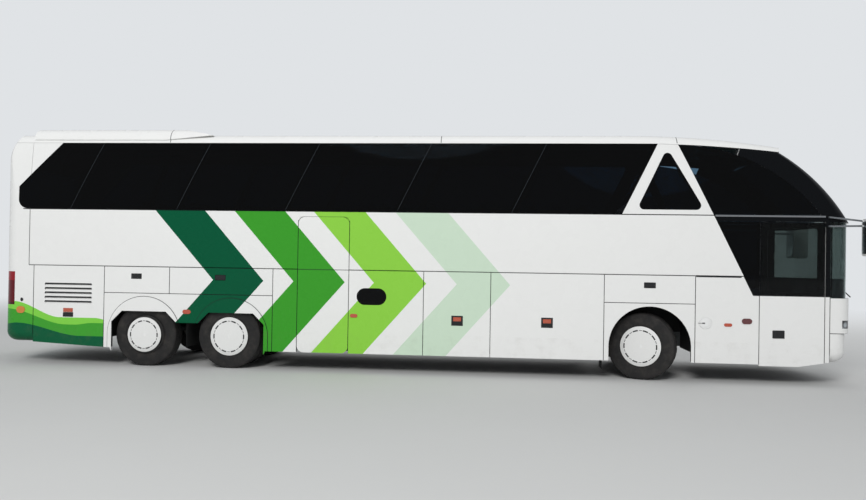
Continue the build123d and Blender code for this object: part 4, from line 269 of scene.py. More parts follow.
# Waves behind WAVE_FRONT_X: height of the top edge at its rear end, its rises as (x0, x1, rise), and tone
WAVE_FRONT_X = -5.1
WAVES = [
    (1.018, [(-6.65, -5.85, -0.25), (-5.25, -5.0, -0.035)], WAVE_LIGHT),
    (0.892, [(-6.75, -5.75, -0.24), (-5.6, -5.3, 0.033)], WAVE_MID),
    (0.635, [(-6.6, -5.5, -0.195), (-6.85, -6.6, 0.03)], WAVE_DARK),
]

# Window band: its foot, floor and top, and the slanted pillars before and behind it
PILLAR_SLANT = 0.49
FOOT_LINE_Z = 2.535
FOOT_LINE_X = (-6.52, 4.56)
BAND_LOW_Z = 2.5495
BAND_TOP_Z = 3.6395
LEG_FOOT = (3.17, 2.545)
FIELD_CORNER = (5.126, 1.341)
FIELD_LOW_Z = 1.331
FIELD_TOP_Z = 3.66
NO_FIELD_Z = 9.0
REAR_SLANT = 0.978
REAR_SLANT_FOOT = (-6.6, 2.91)
REAR_PANE_X = -6.395

# Tone of the painted shade in the panel gaps and at the arch lips
GAP_SHADE_TONE = lin(34, 36, 38)
SEAM_HALF = 0.0055
SKIN_DEPTH = 1.262
ROOF_LOW_Z = 3.64
NOSE_X = 6.2
UPPER_PANE_Z = 2.56
ARCH_LIP_R = 0.613
ARCH_LIP_HALF = 0.0045
ARCH_LIP_X = (-5.04, -2.35)
ARCH_LIP_LOW_Z = 0.3
EDGE_DEPTH = (1.225, 1.2745)
EDGE_X = (-6.39, 6.16)
EDGE_Z = (0.31, 2.5)
GRIME_TOP_Z = 0.62
# Upright seams, each drawn as a painted shade line: x, z0, z1, and whether only the door side has it
UPRIGHT_SEAMS = [
    (-6.400, 1.62, 2.545, False), (-6.312, 0.36, 1.62, False), (-5.100, 0.30, 1.62, False),
    (-4.000, 1.19, 1.62, False), (-2.290, 0.30, 1.62, False), (-1.8895, 0.30, 2.40, True),
    (-1.0605, 0.30, 2.40, True), (0.130, 0.30, 1.62, False), (1.180, 0.30, 1.62, False),
    (2.917, 0.30, 1.62, False), (4.280, 0.30, 1.62, False), (5.2195, 0.30, 1.33, True),
    (-4.060, 3.645, 3.95, False), (0.364, 3.645, 3.90, False), (3.996, 3.645, 3.90, False),
    (6.1665, 0.30, 1.33, False), (6.240, 0.35, 1.33, False),
]
# Level seams, each drawn as a painted shade line: z, x0, x1
LEVEL_SEAMS = [
    (1.6175, -6.40, 4.95), (1.6235, 4.285, 4.98), (1.1885, -5.10, -2.29), (1.1885, 2.917, 4.28),
    (0.7875, 6.24, 6.80),
]
# Centres of the two rear wheel arches, as (x, z)
FLARE_CENTRES = [(-4.42, 0.525), (-2.972, 0.525)]


def coach_paint(name, low_z):
    """White body paint with the striped livery, the dark front field above low_z and the grey lining."""
    m = Mat(name)
    dust = m.noise(1.7, 4.0, 0.6)
    colour = m.mix(m.span(dust, 0.0, 0.07), WHITE, lin(190, 186, 178))
    tip = m.math("ABSOLUTE", m.math("SUBTRACT", m.z, CHEVRON_TIP_Z))
    u = m.math("ADD", m.x, m.math("MULTIPLY", tip, CHEVRON_SLOPE))
    side = m.above(CHEVRON_TOP_Z, m.z)
    for start, tone in CHEVRONS:
        inside = m.both(m.between(u, start, start + CHEVRON_W), side)
        colour = m.mix(inside, colour, tone)
    rear = m.above(WAVE_FRONT_X, m.x)
    for top, rises, tone in WAVES:
        for x0, x1, rise in rises:
            top = m.math("ADD", top, m.math("MULTIPLY", m.step(m.x, x0, x1), rise))
        colour = m.mix(m.both(rear, m.above(top, m.z)), colour, tone)
    # Dark front field, window foot line and the walls of the window rebate
    line_x = m.math("SUBTRACT", FIELD_CORNER[0], m.slanted(FIELD_CORNER[1], PILLAR_SLANT))
    front = m.both(m.above(m.x, line_x), m.above(m.z, low_z), m.above(FIELD_TOP_Z, m.z))
    foot = m.both(m.between(m.z, FOOT_LINE_Z, BAND_LOW_Z), m.between(m.x, *FOOT_LINE_X))
    leg_x = m.math("ADD", LEG_FOOT[0], m.slanted(LEG_FOOT[1], PILLAR_SLANT))
    above_foot = m.math("MAXIMUM", m.math("SUBTRACT", m.z, REAR_SLANT_FOOT[1]), 0.0)
    rear_x = m.math("ADD", REAR_SLANT_FOOT[0], m.math("MULTIPLY", above_foot, REAR_SLANT))
    band = m.both(m.between(m.z, BAND_LOW_Z, BAND_TOP_Z),
                  m.above(m.x, m.math("MAXIMUM", rear_x, REAR_PANE_X)), m.above(leg_x, m.x))
    depth = m.math("ABSOLUTE", m.y)
    # Painted shade lines in the seams between the panels, and painted shadow at the outer edge of the lip
    # round the rear wheel arches
    door_side = m.above(0.0, m.y)
    skin = m.above(depth, SKIN_DEPTH)
    seam_shades = []
    for x, z0, z1, one_side in UPRIGHT_SEAMS:
        line = m.both(m.near(m.x, x, SEAM_HALF), m.between(m.z, z0, z1))
        seam_shades.append(m.both(line, door_side) if one_side else line)
    for z, x0, x1 in LEVEL_SEAMS:
        seam_shades.append(m.both(m.near(m.z, z, SEAM_HALF), m.between(m.x, x0, x1)))
    reach = []
    for x, z in FLARE_CENTRES:
        dx = m.math("SUBTRACT", m.x, x)
        dz = m.math("MAXIMUM", m.math("SUBTRACT", m.z, z), 0.0)
        reach.append(m.math("SQRT", m.math("ADD", m.math("MULTIPLY", dx, dx), m.math("MULTIPLY", dz, dz))))
    lip_shade = m.near(m.math("MINIMUM", *reach), ARCH_LIP_R, ARCH_LIP_HALF)
    seam_shades.append(m.both(lip_shade, m.between(m.x, *ARCH_LIP_X), m.above(m.z, ARCH_LIP_LOW_Z)))
    outside = m.either(skin, m.above(m.x, NOSE_X), m.above(m.z, ROOF_LOW_Z))
    # Painted shade: the seams and the arch lip are darkened to stand for the shade in the gaps
    colour = m.mix(m.math("MULTIPLY", m.both(m.either(*seam_shades), outside), 0.9), colour, GAP_SHADE_TONE)
    # Painted shade on the edge faces of the doors, flaps and panels, inside their gaps
    edge_shade = m.both(m.above(0.3, m.math("ABSOLUTE", m.ny)), m.between(depth, *EDGE_DEPTH),
                  m.between(m.z, *EDGE_Z), m.between(m.x, *EDGE_X))
    colour = m.mix(edge_shade, colour, GAP_SHADE_TONE)
    outward = m.above(m.math("MULTIPLY", m.ny, m.y), 0.0)
    colour = m.mix(m.both(m.either(front, foot, band), outward), colour, BLACK)
    low = m.both(m.above(GRIME_TOP_Z, m.z), outward)
    grime = m.math("MULTIPLY", low, m.step(m.noise(6.0, 5.0, 0.65), 0.45, 0.8))
    colour = m.mix(m.math("MULTIPLY", grime, 0.1), colour, lin(120, 108, 92))
    inner = m.math("SUBTRACT", 1.0, m.above(m.math("MULTIPLY", m.ny, m.y), -0.02))
    lining = m.mix(m.both(m.above(m.x, line_x), m.above(m.z, FIELD_LOW_Z)), LINING, BLACK)
    colour = m.mix(inner, colour, lining)
    m.set(Base_Color=colour, Roughness=m.span(m.noise(4.0), 0.25, 0.3))
    m.bsdf.inputs["Specular IOR Level"].default_value = 0.12
    m.bsdf.inputs["Coat Weight"].default_value = 0.04
    m.bsdf.inputs["Coat Roughness"].default_value = 0.05
    m.bump(m.noise(3.0, 2.0), 0.03, 0.001)
    return m.material


def plain(name, tone, rough, metal=0.0, scale=40.0, spread=0.12, bump=0.15, coat=0.0, stretch=None):
    """Material of one tone with fine grain in colour, gloss and relief."""
    m = Mat(name)
    grain = m.noise(scale, 4.0, 0.6, stretch)
    worn = tuple(min(1.0, c * 1.7 + 0.02) for c in tone[:3]) + (1.0,)
    m.set(Base_Color=m.mix(m.math("MULTIPLY", grain, spread * 2), tone, worn))
    m.set(Roughness=m.span(m.noise(scale / 3), max(rough - 0.08, 0.0), min(rough + 0.1, 1.0)))
    m.bsdf.inputs["Metallic"].default_value = metal
    m.bsdf.inputs["Coat Weight"].default_value = coat
    m.bump(grain, bump, 0.0006)
    return m.material


def glass(name, tint, specular, upper_tint=None):
    """Tinted glass with a faint film of dust, darker where it is an upper pane."""
    m = Mat(name)
    film = m.step(m.noise(2.5, 5.0, 0.6), 0.35, 0.95)
    lighter = tuple(min(1.0, c * 1.25 + 0.004) for c in tint[:3]) + (1.0,)
    colour = m.mix(film, tint, lighter)
    if upper_tint:
        colour = m.mix(m.above(m.z, UPPER_PANE_Z), colour, upper_tint)
    m.set(Base_Color=colour)
    m.set(Roughness=m.span(m.noise(14.0), 0.0, 0.03))
    m.bsdf.inputs["Transmission Weight"].default_value = 1.0
    m.bsdf.inputs["IOR"].default_value = 1.22
    m.bsdf.inputs["Specular IOR Level"].default_value = specular
    return m.material


def tail_lens():
    """Red lens, lighter at its top, with moulded ribs."""
    m = Mat("tail_lens")
    top = m.above(m.z, 1.36)
    colour = m.mix(top, lin(92, 0, 14), lin(140, 12, 28))
    colour = m.mix(m.above(1.0, m.z), colour, lin(66, 0, 10))
    ribs = m.math("SINE", m.math("MULTIPLY", m.z, 420.0))
    m.set(Base_Color=colour, Roughness=m.span(m.noise(20.0), 0.12, 0.22))
    m.bsdf.inputs["Specular IOR Level"].default_value = 0.2
    m.bsdf.inputs["Coat Weight"].default_value = 0.2
    m.bump(ribs, 0.25, 0.001)
    return m.material


def marker_lens():
    """Amber lens, and the one dark red reflector ahead of the filler flap."""
    m = Mat("marker_lens")
    red = m.both(m.above(m.x, 4.95), m.above(5.13, m.x))
    orange = m.mix(m.above(-6.0, m.x), lin(178, 66, 34), lin(198, 120, 34))
    colour = m.mix(red, orange, lin(86, 20, 26))
    m.set(Base_Color=colour, Roughness=m.span(m.noise(60.0), 0.12, 0.25))
    m.bsdf.inputs["Coat Weight"].default_value = 1.0
    m.bump(m.math("SINE", m.math("MULTIPLY", m.x, 700.0)), 0.3, 0.0006)
    return m.material


def lamp_glass():
    """Lamp behind clear glass: bright bowls on a dark ground."""
    m = Mat("lamp_cells")
    cells = m.node("ShaderNodeTexVoronoi")
    cells.inputs["Scale"].default_value = 9.0
    m.link(m.place, cells.inputs["Vector"])
    bowl = m.step(cells.outputs["Distance"], 0.25, 0.55)
    m.set(Base_Color=m.mix(bowl, lin(168, 174, 178), lin(22, 25, 28)))
    m.set(Roughness=m.span(bowl, 0.08, 0.3))
    m.bsdf.inputs["Metallic"].default_value = 0.6
    m.bsdf.inputs["Coat Weight"].default_value = 1.0
    m.bump(cells.outputs["Distance"], 0.4, 0.01)
    return m.material


def wheel_look(name, centre, axis, along):
    """White wheel cover, and the dark steel wheel behind it."""
    m = Mat(name)
    offset = sum(c * a for c, a in zip(centre, axis)) + along
    reach = m.math("ADD", m.math("MULTIPLY", m.x, axis[0]), m.math("MULTIPLY", m.y, axis[1]))
    cover = m.above(reach, offset)
    grain = m.noise(30.0, 4.0, 0.6)
    white = m.mix(m.span(grain, 0.0, 0.12), lin(228, 228, 226), lin(176, 172, 164))
    dark = m.mix(m.span(grain, 0.0, 0.4), lin(44, 45, 47), lin(84, 80, 74))
    m.set(Base_Color=m.mix(cover, dark, white), Roughness=m.span(m.noise(12.0), 0.26, 0.4))
    m.bsdf.inputs["Specular IOR Level"].default_value = 0.4
    m.bump(grain, 0.08, 0.0006)
    return m.material


def rubber():
    """Tyre rubber with road dust on the tread and faint rings on the sidewall."""
    m = Mat("tyre_compound")
    dust = m.step(m.noise(7.0, 5.0, 0.65), 0.4, 0.85)
    colour = m.mix(m.math("MULTIPLY", dust, 0.5), lin(34, 33, 33), lin(78, 73, 68))
    m.set(Base_Color=colour, Roughness=m.span(m.noise(30.0), 0.62, 0.85))
    m.bump(m.noise(160.0, 3.0), 0.25, 0.0008)
    return m.material


def mirror_shell():
    """White shells on satin tubes."""
    m = Mat("mirror_shell")
    head = m.above(m.x, 6.662)
    m.set(Base_Color=m.mix(head, lin(150, 153, 156), WHITE))
    m.set(Roughness=m.span(m.noise(24.0), 0.22, 0.34))
    m.set(Metallic=m.math("SUBTRACT", 1.0, head))
    m.bump(m.noise(120.0), 0.08, 0.0004)
    return m.material


def cloth():
    """Seat cloth: fine weave with a soft darker check."""
    m = Mat("seat_weave")
    weave = m.math("MULTIPLY", m.math("SINE", m.math("MULTIPLY", m.y, 1800.0)),
                   m.math("SINE", m.math("MULTIPLY", m.z, 1800.0)))
    check = m.math("MULTIPLY", m.math("SINE", m.math("MULTIPLY", m.y, 70.0)),
                   m.math("SINE", m.math("MULTIPLY", m.z, 70.0)))
    base = m.mix(m.step(check, 0.2, 0.7), lin(44, 60, 74), lin(70, 92, 104))
    m.set(Base_Color=m.mix(m.span(m.noise(25.0), 0.0, 0.3), base, lin(96, 108, 112)))
    m.set(Roughness=m.span(m.noise(60.0), 0.8, 0.95))
    m.bsdf.inputs["Sheen Weight"].default_value = 0.3
    m.bump(weave, 0.4, 0.0008)
    return m.material


paint = coach_paint("coach_paint", FIELD_LOW_Z)
roof_paint = coach_paint("roof_paint", NO_FIELD_Z)
# Black plastic, also used for the painted shade laid in the louvre slots and the wheel-cover slits
black_plastic_and_shade = plain("black_plastic_and_shade", lin(24, 25, 27), 0.5, scale=220.0, bump=0.3)
grey_plastic = plain("grey_plastic", lin(72, 76, 80), 0.55, scale=200.0, bump=0.3)
pale_plastic = plain("pale_plastic", lin(222, 222, 220), 0.42, scale=120.0, bump=0.15)
floor_cover = plain("floor_cover", lin(52, 54, 58), 0.7, scale=90.0, bump=0.5)
chassis = plain("chassis_black", lin(13, 13, 14), 0.7, scale=18.0, bump=0.4)
cast = plain("cast_black", lin(30, 30, 31), 0.65, metal=0.3, scale=60.0, bump=0.6)
steel = plain("satin_steel", lin(150, 152, 155), 0.3, metal=1.0, scale=50.0, bump=0.1, stretch=(1, 1, 12))
strip_rubber = plain("strip_rubber", lin(40, 46, 52), 0.5, scale=120.0, bump=0.1)
bellows = plain("bellows_rubber", lin(20, 20, 20), 0.8, scale=90.0, bump=0.5)
dark_glass = glass("dark_glass", (0.007, 0.015, 0.023, 1.0), 0.07)
door_glass = glass("door_glass", (0.17, 0.2, 0.195, 1.0), 0.1)
screen_glass = glass("screen_glass", (0.25, 0.3, 0.29, 1.0), 0.15, (0.012, 0.022, 0.03, 1.0))
tyre_mat = rubber()
seat_cloth = cloth()
red_lens = tail_lens()
amber_lens = marker_lens()
lamps = lamp_glass()
orange_lens = plain("orange_lens", lin(170, 72, 44), 0.2, scale=160.0, bump=0.3, coat=1.0)
mirror_face = plain("mirror_silver", lin(200, 205, 208), 0.03, metal=1.0, scale=5.0, spread=0.02, bump=0.01)

# Wheels: place, centre, axis outwards, and where its tyres stand along that axis
TURN = math.radians(-20)
TWIN_GAP = 0.335
TAG_COVER_OUT = 0.158
COVER_OUT = 0.1351
WHEELS = [
    ("front_left", (3.6413, 1.0360, AXLE_Z), (-math.sin(TURN), math.cos(TURN), 0), [0.0]),
    ("front_right", (3.5387, -1.0360, AXLE_Z), (math.sin(TURN), -math.cos(TURN), 0), [0.0]),
    ("tag_left", (-4.42, 1.06, AXLE_Z), (0, 1, 0), [0.0]),
    ("tag_right", (-4.42, -1.06, AXLE_Z), (0, -1, 0), [0.0]),
    ("drive_left", (-3.015, 1.068, AXLE_Z), (0, 1, 0), [0.0, -TWIN_GAP]),
    ("drive_right", (-3.015, -1.068, AXLE_Z), (0, -1, 0), [0.0, -TWIN_GAP]),
]
wheel_looks = {}
for place, centre, axis, _ in WHEELS:
    face = TAG_COVER_OUT if place.startswith("tag") else COVER_OUT
    wheel_looks[f"wheel_{place}"] = wheel_look(f"wheel_look_{place}", centre, axis, face)

LOOKS = {
    "windscreens": screen_glass, "roof_shell": roof_paint, "fixed_windows": dark_glass,
    "front_door_glass": door_glass, "roof_hatches": pale_plastic, "tail_lamps": red_lens,
    "headlamps": lamps, "side_markers": amber_lens, "passenger_deck": floor_cover,
    "cockpit_floor": floor_cover, "steps": floor_cover, "underframe": chassis, "wheel_housings": chassis,
    "front_axle": cast, "rear_axles": cast, "air_springs": bellows, "knuckle_left": cast,
    "knuckle_right": cast, "tie_rod": steel, "front_door_arm": steel, "mid_door_arm": steel,
    "steering_wheel": black_plastic_and_shade, "dashboard": grey_plastic, "seats": seat_cloth,
    "engine_block": cast, "mirrors": mirror_shell(),
}
for name, obj in nodes.items():
    if name in wheel_looks:
        look = wheel_looks[name]
    elif name.startswith("tyre_"):
        look = tyre_mat
    else:
        look = LOOKS.get(name, paint)
    obj.data.materials.clear()
    obj.data.materials.append(look)


# Tyres with grooved treads in place of the plain rings
TYRE_STEPS = 150
TREAD_R = AXLE_Z
SHOULDER_R = 0.5145
GROOVE_R = 0.505
RIBS = [(-0.108, -0.072), (-0.060, -0.024), (-0.012, 0.012), (0.024, 0.060), (0.072, 0.108)]
# Sidewall from the bead to the shoulder, as (half width, radius)
SIDEWALL = [
    (0.112, 0.2855), (0.125, 0.300), (0.133, 0.325), (0.136, 0.328), (0.1375, 0.36), (0.14, 0.395),
    (0.14, 0.42), (0.137, 0.455), (0.134, 0.47), (0.1345, 0.474), (0.130, 0.492), (0.124, 0.503),
    (0.112, 0.512),
]


def tyre_profile(mid):
    """Outline of a tyre across its width, as (along, radius)."""
    points = [(mid - half, r) for half, r in SIDEWALL]
    for a, b in RIBS:
        top = TREAD_R if abs(a + b) < 0.13 else SHOULDER_R
        points.append((mid + a, GROOVE_R))
        points.append((mid + a + 0.001, top))
        points.append((mid + (a + b) / 2, top))
        points.append((mid + b - 0.001, top))
        points.append((mid + b, GROOVE_R))
    mirrored = [(2 * mid - x, r) for x, r in reversed(points[:len(SIDEWALL)])]
    return points + mirrored


def add_tyre(bm, centre, axis, mid):
    """Tyre with cut shoulder blocks and small cuts in its middle ribs."""
    axis = Vector(axis).normalized()
    side = axis.cross(Vector((0, 0, 1))).normalized()
    up = side.cross(axis)
    profile = tyre_profile(mid)
    rows = []
    for k in range(TYRE_STEPS):
        t = 2 * math.pi * k / TYRE_STEPS
        out = side * math.cos(t) + up * math.sin(t)
        row = []
        for a, r in profile:
            off = abs(a - mid)
            if off > 0.066 and r > 0.506 and k % 5 == 0:
                r = 0.5055
            if 0.02 < off < 0.062 and r > 0.514 and k % 5 == 2:
                r = 0.510
            row.append(bm.verts.new(Vector(centre) + axis * a + out * r))
        rows.append(row)
    n = len(profile)
    for k in range(TYRE_STEPS):
        a, b = rows[k], rows[(k + 1) % TYRE_STEPS]
        for i in range(n):
            j = (i + 1) % n
            bm.faces.new((a[i], a[j], b[j], b[i]))


for place, centre, axis, mids in WHEELS:
    bm = bmesh.new()
    for mid in mids:
        add_tyre(bm, centre, axis, mid)
    tyre = new_piece(f"tyre_road_{place}", bm, f"wheel_{place}", tyre_mat)
    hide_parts(f"tyre_{place}")

# Cushions and backs of the seats, each crowned, with a leg frame below
SEAT_PITCH = 0.79
SEAT_LOW = 1.9503
FIRST_SEAT_X = 3.6
SEAT_ROWS = 13
BENCH_Y = 0.73
BENCH_W = 0.93
STAIRS_X = (-1.887, -1.063)
PAD_GAP = 0.012
PAD_SIDES = 20
CUSHION_L, CUSHION_H = 0.455, 0.105
BACK_L, BACK_H = 0.088, 0.66
HEADREST_L, HEADREST_H = 0.1, 0.17
DRIVER_SEAT = ("driver", 5.08, 0.65, 1.3003, 0.52, 1)
LEAN = math.tan(math.radians(14))


def superloop(a, b, power):
    """Rounded cross-section of a pad, as (along, up)."""
    loop = []
    for k in range(PAD_SIDES):
        t = 2 * math.pi * k / PAD_SIDES
        c, s = math.cos(t), math.sin(t)
        along = a * math.copysign(abs(c) ** (2 / power), c)
        loop.append((along, b * math.copysign(abs(s) ** (2 / power), s)))
    return loop


def add_pad(bm, x, y, z, length, width, height, power, lean=0.0):
    """Crowned pad with a dip at its middle and ends that pull in, centred at x, y, z."""
    stations = [-0.995, -0.93, -0.8, -0.55, -0.25, 0.0, 0.25, 0.55, 0.8, 0.93, 0.995]
    loops = []
    for t in stations:
        pull = (1 - abs(t) ** 5) ** 0.2
        dip = 1 - 0.05 * math.exp(-((t * 6) ** 2))
        loop = []
        for along, up in superloop(length / 2 * (0.9 + 0.1 * pull), height / 2 * pull * dip, power):
            loop.append((x + along - lean * up, y + t * width / 2, z + up))
        loops.append(loop)
    add_loft(bm, loops)


# Seats: tag, x, y and z of the cushion's foot, width, and places
seat_rows = []
for row in range(SEAT_ROWS):
    x = FIRST_SEAT_X - row * SEAT_PITCH
    for place, s in (("right", RIGHT), ("left", LEFT)):
        over_stairs = s == RIGHT and x - SEAT_PITCH / 2 < STAIRS_X[1] and x + 0.47 > STAIRS_X[0]
        if not over_stairs:
            seat_rows.append((f"{row:02d}_{place}", x, s * BENCH_Y, SEAT_LOW, BENCH_W, 2))
seat_rows.append(DRIVER_SEAT)
legs = bmesh.new()
for tag, x, y, z, width, places in seat_rows:
    cushion = bmesh.new()
    back = bmesh.new()
    each = width / places
    for k in range(places):
        cy = y - width / 2 + each * (k + 0.5)
        wide = each - PAD_GAP
        add_pad(cushion, x + 0.238, cy, z + 0.055, CUSHION_L, wide, CUSHION_H, 5)
        add_pad(back, x - 0.05 - 0.355 * LEAN, cy, z + 0.405, BACK_L, wide, BACK_H, 6, LEAN)
        add_pad(back, x - 0.052 - 0.60 * LEAN, cy, z + 0.655, HEADREST_L, each * 0.62, HEADREST_H, 4, LEAN)
        add_box(legs, (x + 0.09, cy - 0.02, z - 0.345), (x + 0.32, cy + 0.02, z - 0.012), 0.008)
    cushion_piece = new_piece(f"seat_cushion_{tag}", cushion, "coach_body", seat_cloth)
    back_piece = new_piece(f"seat_back_{tag}", back, "coach_body", seat_cloth)
    for piece in (cushion_piece, back_piece):
        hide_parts("seats")
new_piece("seat_legs", legs, "coach_body", steel, smooth=False)

# Latch handles in the pockets, with a lens above each on the flaps: body, x, z, half width of the lens, and
# twice the lens's drop where a frame stands round both (else 0)
LATCH_HALF = 0.086
GRIP_HALF = 0.07
LATCH_BEVEL = 0.008
GRIP_BEVEL = 0.002
LATCH_SUNK = 0.0175
COVER_LATCH_Z = 1.462
COVER_LATCH_XS = (-4.556, -3.156, 3.602)
DOOR_LATCH = (5.503, 0.756)
HANDLES = [
    ("engine_flap", -5.710, 0.815, 0.082, 0.0),
    ("luggage_flap_rear", 0.664, 0.815, 0.062, 0.022),
    ("luggage_flap_front", 2.054, 0.815, 0.062, 0.022),
]


def plate(bm, s, x0, x1, z0, z1, sunk, proud, bevel):
    """Box on a side wall that stands from sunk below its face to proud of it."""
    y0, y1 = sorted((s * (SIDE_Y - sunk), s * (SIDE_Y + proud)))
    add_box(bm, (x0, y0, z0), (x1, y1, z1), bevel, 3)


for name, x, z, lens_half, frame_z in HANDLES:
    for side, s in (("right", RIGHT), ("left", LEFT)):
        bm = bmesh.new()
        plate(bm, s, x - LATCH_HALF, x + LATCH_HALF, z - 0.035, z + 0.035, LATCH_SUNK, 0.001, LATCH_BEVEL)
        plate(bm, s, x - GRIP_HALF, x + GRIP_HALF, z - 0.03, z - 0.008, 0.001, 0.005, GRIP_BEVEL)
        if frame_z:
            plate(bm, s, x - 0.09, x + 0.09, z - 0.038, z + 0.118, -0.0002, 0.0028, 0.0012)
        new_piece(f"latch_{name}_{side}", bm, f"{name}_{side}", black_plastic_and_shade)
        bm = bmesh.new()
        low_z, high_z = z + 0.042 - frame_z / 2, z + 0.106 - frame_z / 2
        plate(bm, s, x - lens_half, x + lens_half, low_z, high_z, -0.001, 0.0055, 0.002)
        new_piece(f"lens_{name}_{side}", bm, f"{name}_{side}", orange_lens)
bm = bmesh.new()
for x in COVER_LATCH_XS:
    z = COVER_LATCH_Z
    for s in (RIGHT, LEFT):
        plate(bm, s, x - LATCH_HALF, x + LATCH_HALF, z - 0.042, z + 0.042, LATCH_SUNK, 0.001, LATCH_BEVEL)
        plate(bm, s, x - GRIP_HALF, x + GRIP_HALF, z - 0.036, z - 0.01, 0.001, 0.005, GRIP_BEVEL)
new_piece("cover_latches", bm, "coach_body", black_plastic_and_shade)
bm = bmesh.new()
x, z = DOOR_LATCH
plate(bm, RIGHT, x - LATCH_HALF, x + LATCH_HALF, z - 0.058, z + 0.058, LATCH_SUNK, 0.001, LATCH_BEVEL)
plate(bm, RIGHT, x - 0.012, x + 0.075, z - 0.03, z + 0.03, 0.001, 0.005, GRIP_BEVEL)
new_piece("latch_front_door", bm, "front_door", black_plastic_and_shade)

# Dark strips laid over the slots of the engine louvres, as painted shade in the slots
SLOTS_X = (-6.114, -5.313)
FIRST_SLOT_Z = 1.018
SLOT_PITCH = 0.072
for side, s in (("right", RIGHT), ("left", LEFT)):
    bm = bmesh.new()
    for k in range(5):
        z = FIRST_SLOT_Z + SLOT_PITCH * k
        plate(bm, s, *SLOTS_X, z + 0.003, z + 0.026, 0.004, 0.0008, 0.003)
    new_piece(f"louvre_slot_shade_{side}", bm, f"engine_flap_{side}", black_plastic_and_shade)

# Filler flap and its catch, trim under the belt, and the rail over the front door
FILLER = (4.434, 0.906)
FILLER_PROFILE = [
    (0, 0), (0.003, 0.0), (0.004, 0.07), (0.001, 0.076), (0.004, 0.082), (0.003, 0.09), (0, 0.094),
]
# Catch and trim: x0, x1, z0, z1, sunk, proud, bevel
BELT_TRIM = [
    (4.385, 4.425, 0.894, 0.912, -0.003, 0.0075, 0.002),
    (4.325, 4.395, 0.899, 0.905, -0.003, 0.0065, 0.001),
    (4.29, 4.955, 1.600, 1.6165, 0.002, 0.0035, 0.002),
]
DOOR_RAIL = (4.56, 6.165, 2.523, 2.549, 0.001, 0.006, 0.0028)
bm = bmesh.new()
for s in (RIGHT, LEFT):
    add_revolve(bm, (FILLER[0], s * (SIDE_Y + 0.0005), FILLER[1]), (0, s, 0), FILLER_PROFILE, 56)
new_piece("filler_flaps", bm, "coach_body", pale_plastic)
bm = bmesh.new()
for s in (RIGHT, LEFT):
    for trim in BELT_TRIM:
        plate(bm, s, *trim)
new_piece("belt_trim", bm, "coach_body", black_plastic_and_shade)
bm = bmesh.new()
for s in (RIGHT, LEFT):
    plate(bm, s, *DOOR_RAIL)
new_piece("door_rail", bm, "coach_body", steel)

# Dark arcs laid on the cover's own face over the slits round the wheel covers, as painted shade in the
# slits
TAG_COVER_R = 0.28
COVER_R = 0.308
SLIT_HALF = 0.01
SLITS = 10
for place, centre, axis, _ in WHEELS:
    radius = 0.8 * (TAG_COVER_R if place.startswith("tag") else COVER_R)
    axis = Vector(axis)
    side = axis.cross(Vector((0, 0, 1))).normalized()
    up = side.cross(axis)
    bm = bmesh.new()
    for k in range(SLITS):
        loops = []
        for step in range(7):
            t = math.radians(36 * k + 9 * (step / 3 - 1))
            out = side * math.cos(t) + up * math.sin(t)
            rim = []
            low, high = radius - SLIT_HALF, radius + SLIT_HALF
            for r, depth in ((low, -0.002), (low, 0.0008), (high, 0.0008), (high, -0.002)):
                start = Vector(centre) + axis * 0.6 + out * r
                spot = nodes[f"wheel_{place}"].ray_cast(start, -axis)[1]
                rim.append(spot + axis * depth)
            loops.append(rim)
        add_loft(bm, loops)
    new_piece(f"cover_slit_shade_{place}", bm, f"wheel_{place}", black_plastic_and_shade)

# Number plate holders, left blank, and wipers on the lower screen
FRONT_PLATE = ((6.706, -0.26, 0.52), (6.716, 0.26, 0.63))
REAR_PLATE = ((-6.9408, -0.26, 0.86), (-6.928, 0.26, 0.97))
bm = bmesh.new()
add_box(bm, *FRONT_PLATE, 0.003)
add_box(bm, *REAR_PLATE, 0.0012)
new_piece("blank_plates", bm, "coach_body", pale_plastic)
bm = bmesh.new()
for y0, y1 in ((-0.95, -0.15), (0.95, 0.15)):
    toward = math.copysign(1, -y0)
    add_tube(bm, [(6.70, y0 * 0.93, 1.33), (6.742, (y0 + y1) / 2, 1.42), (6.738, y1, 1.50)], 0.009)
    blade = [(6.722, y1 - 0.42 * toward, 1.40), (6.732, y1, 1.50), (6.728, y1 + 0.35 * toward, 1.60)]
    add_tube(bm, blade, 0.007)
new_piece("wipers", bm, "coach_body", black_plastic_and_shade)

# Rounded upper corners of the mid doorway
CORNER = 0.115
DOORWAY_TOP_Z = 2.462
DOORWAY_SIDES = ((-1.892, 1), (-1.058, -1))
bm = bmesh.new()
z = DOORWAY_TOP_Z
for x, toward in DOORWAY_SIDES:
    loops = []
    for y in (-1.2747, -1.2305):
        arc = []
        for step in range(9):
            t = math.pi / 2 * step / 8
            arc.append((x + toward * CORNER * (1 - math.sin(t)), y, z - CORNER * (1 - math.cos(t))))
        loops.append([(x, y, z)] + arc)
    add_loft(bm, loops)
new_piece("doorway_corners", bm, "coach_body", paint)

# Strips between the side panes
FIRST_STRIP_X = 1.482
PANE_PITCH = 1.797
STRIP_LOW_Z = 2.553
STRIP_H = 1.083


def skin_y(name, s, x, z):
    """Outer face of a node at a place on one side."""
    hit, spot = nodes[name].ray_cast(Vector((x, s * 3.0, z)), Vector((0, -s, 0)))[:2]
    return spot.y if hit and spot.y * s > 1.0 else s * SIDE_Y


for side, s in (("right", RIGHT), ("left", LEFT)):
    bm = bmesh.new()
    for k in range(5):
        loops = []
        for step in range(15):
            z = STRIP_LOW_Z + STRIP_H * step / 14
            x = FIRST_STRIP_X - PANE_PITCH * k + (z - LEG_FOOT[1]) * PILLAR_SLANT
            y = max(skin_y("fixed_windows", s, x + dx, z) * s for dx in (-0.012, 0.012)) * s
            loops.append([(x - 0.0035, y - s * 0.003, z), (x + 0.0035, y - s * 0.003, z),
                          (x + 0.0025, y + s * 0.0008, z), (x - 0.0025, y + s * 0.0008, z)])
        add_loft(bm, loops)
    new_piece(f"pane_strips_{side}", bm, "coach_body", strip_rubber)

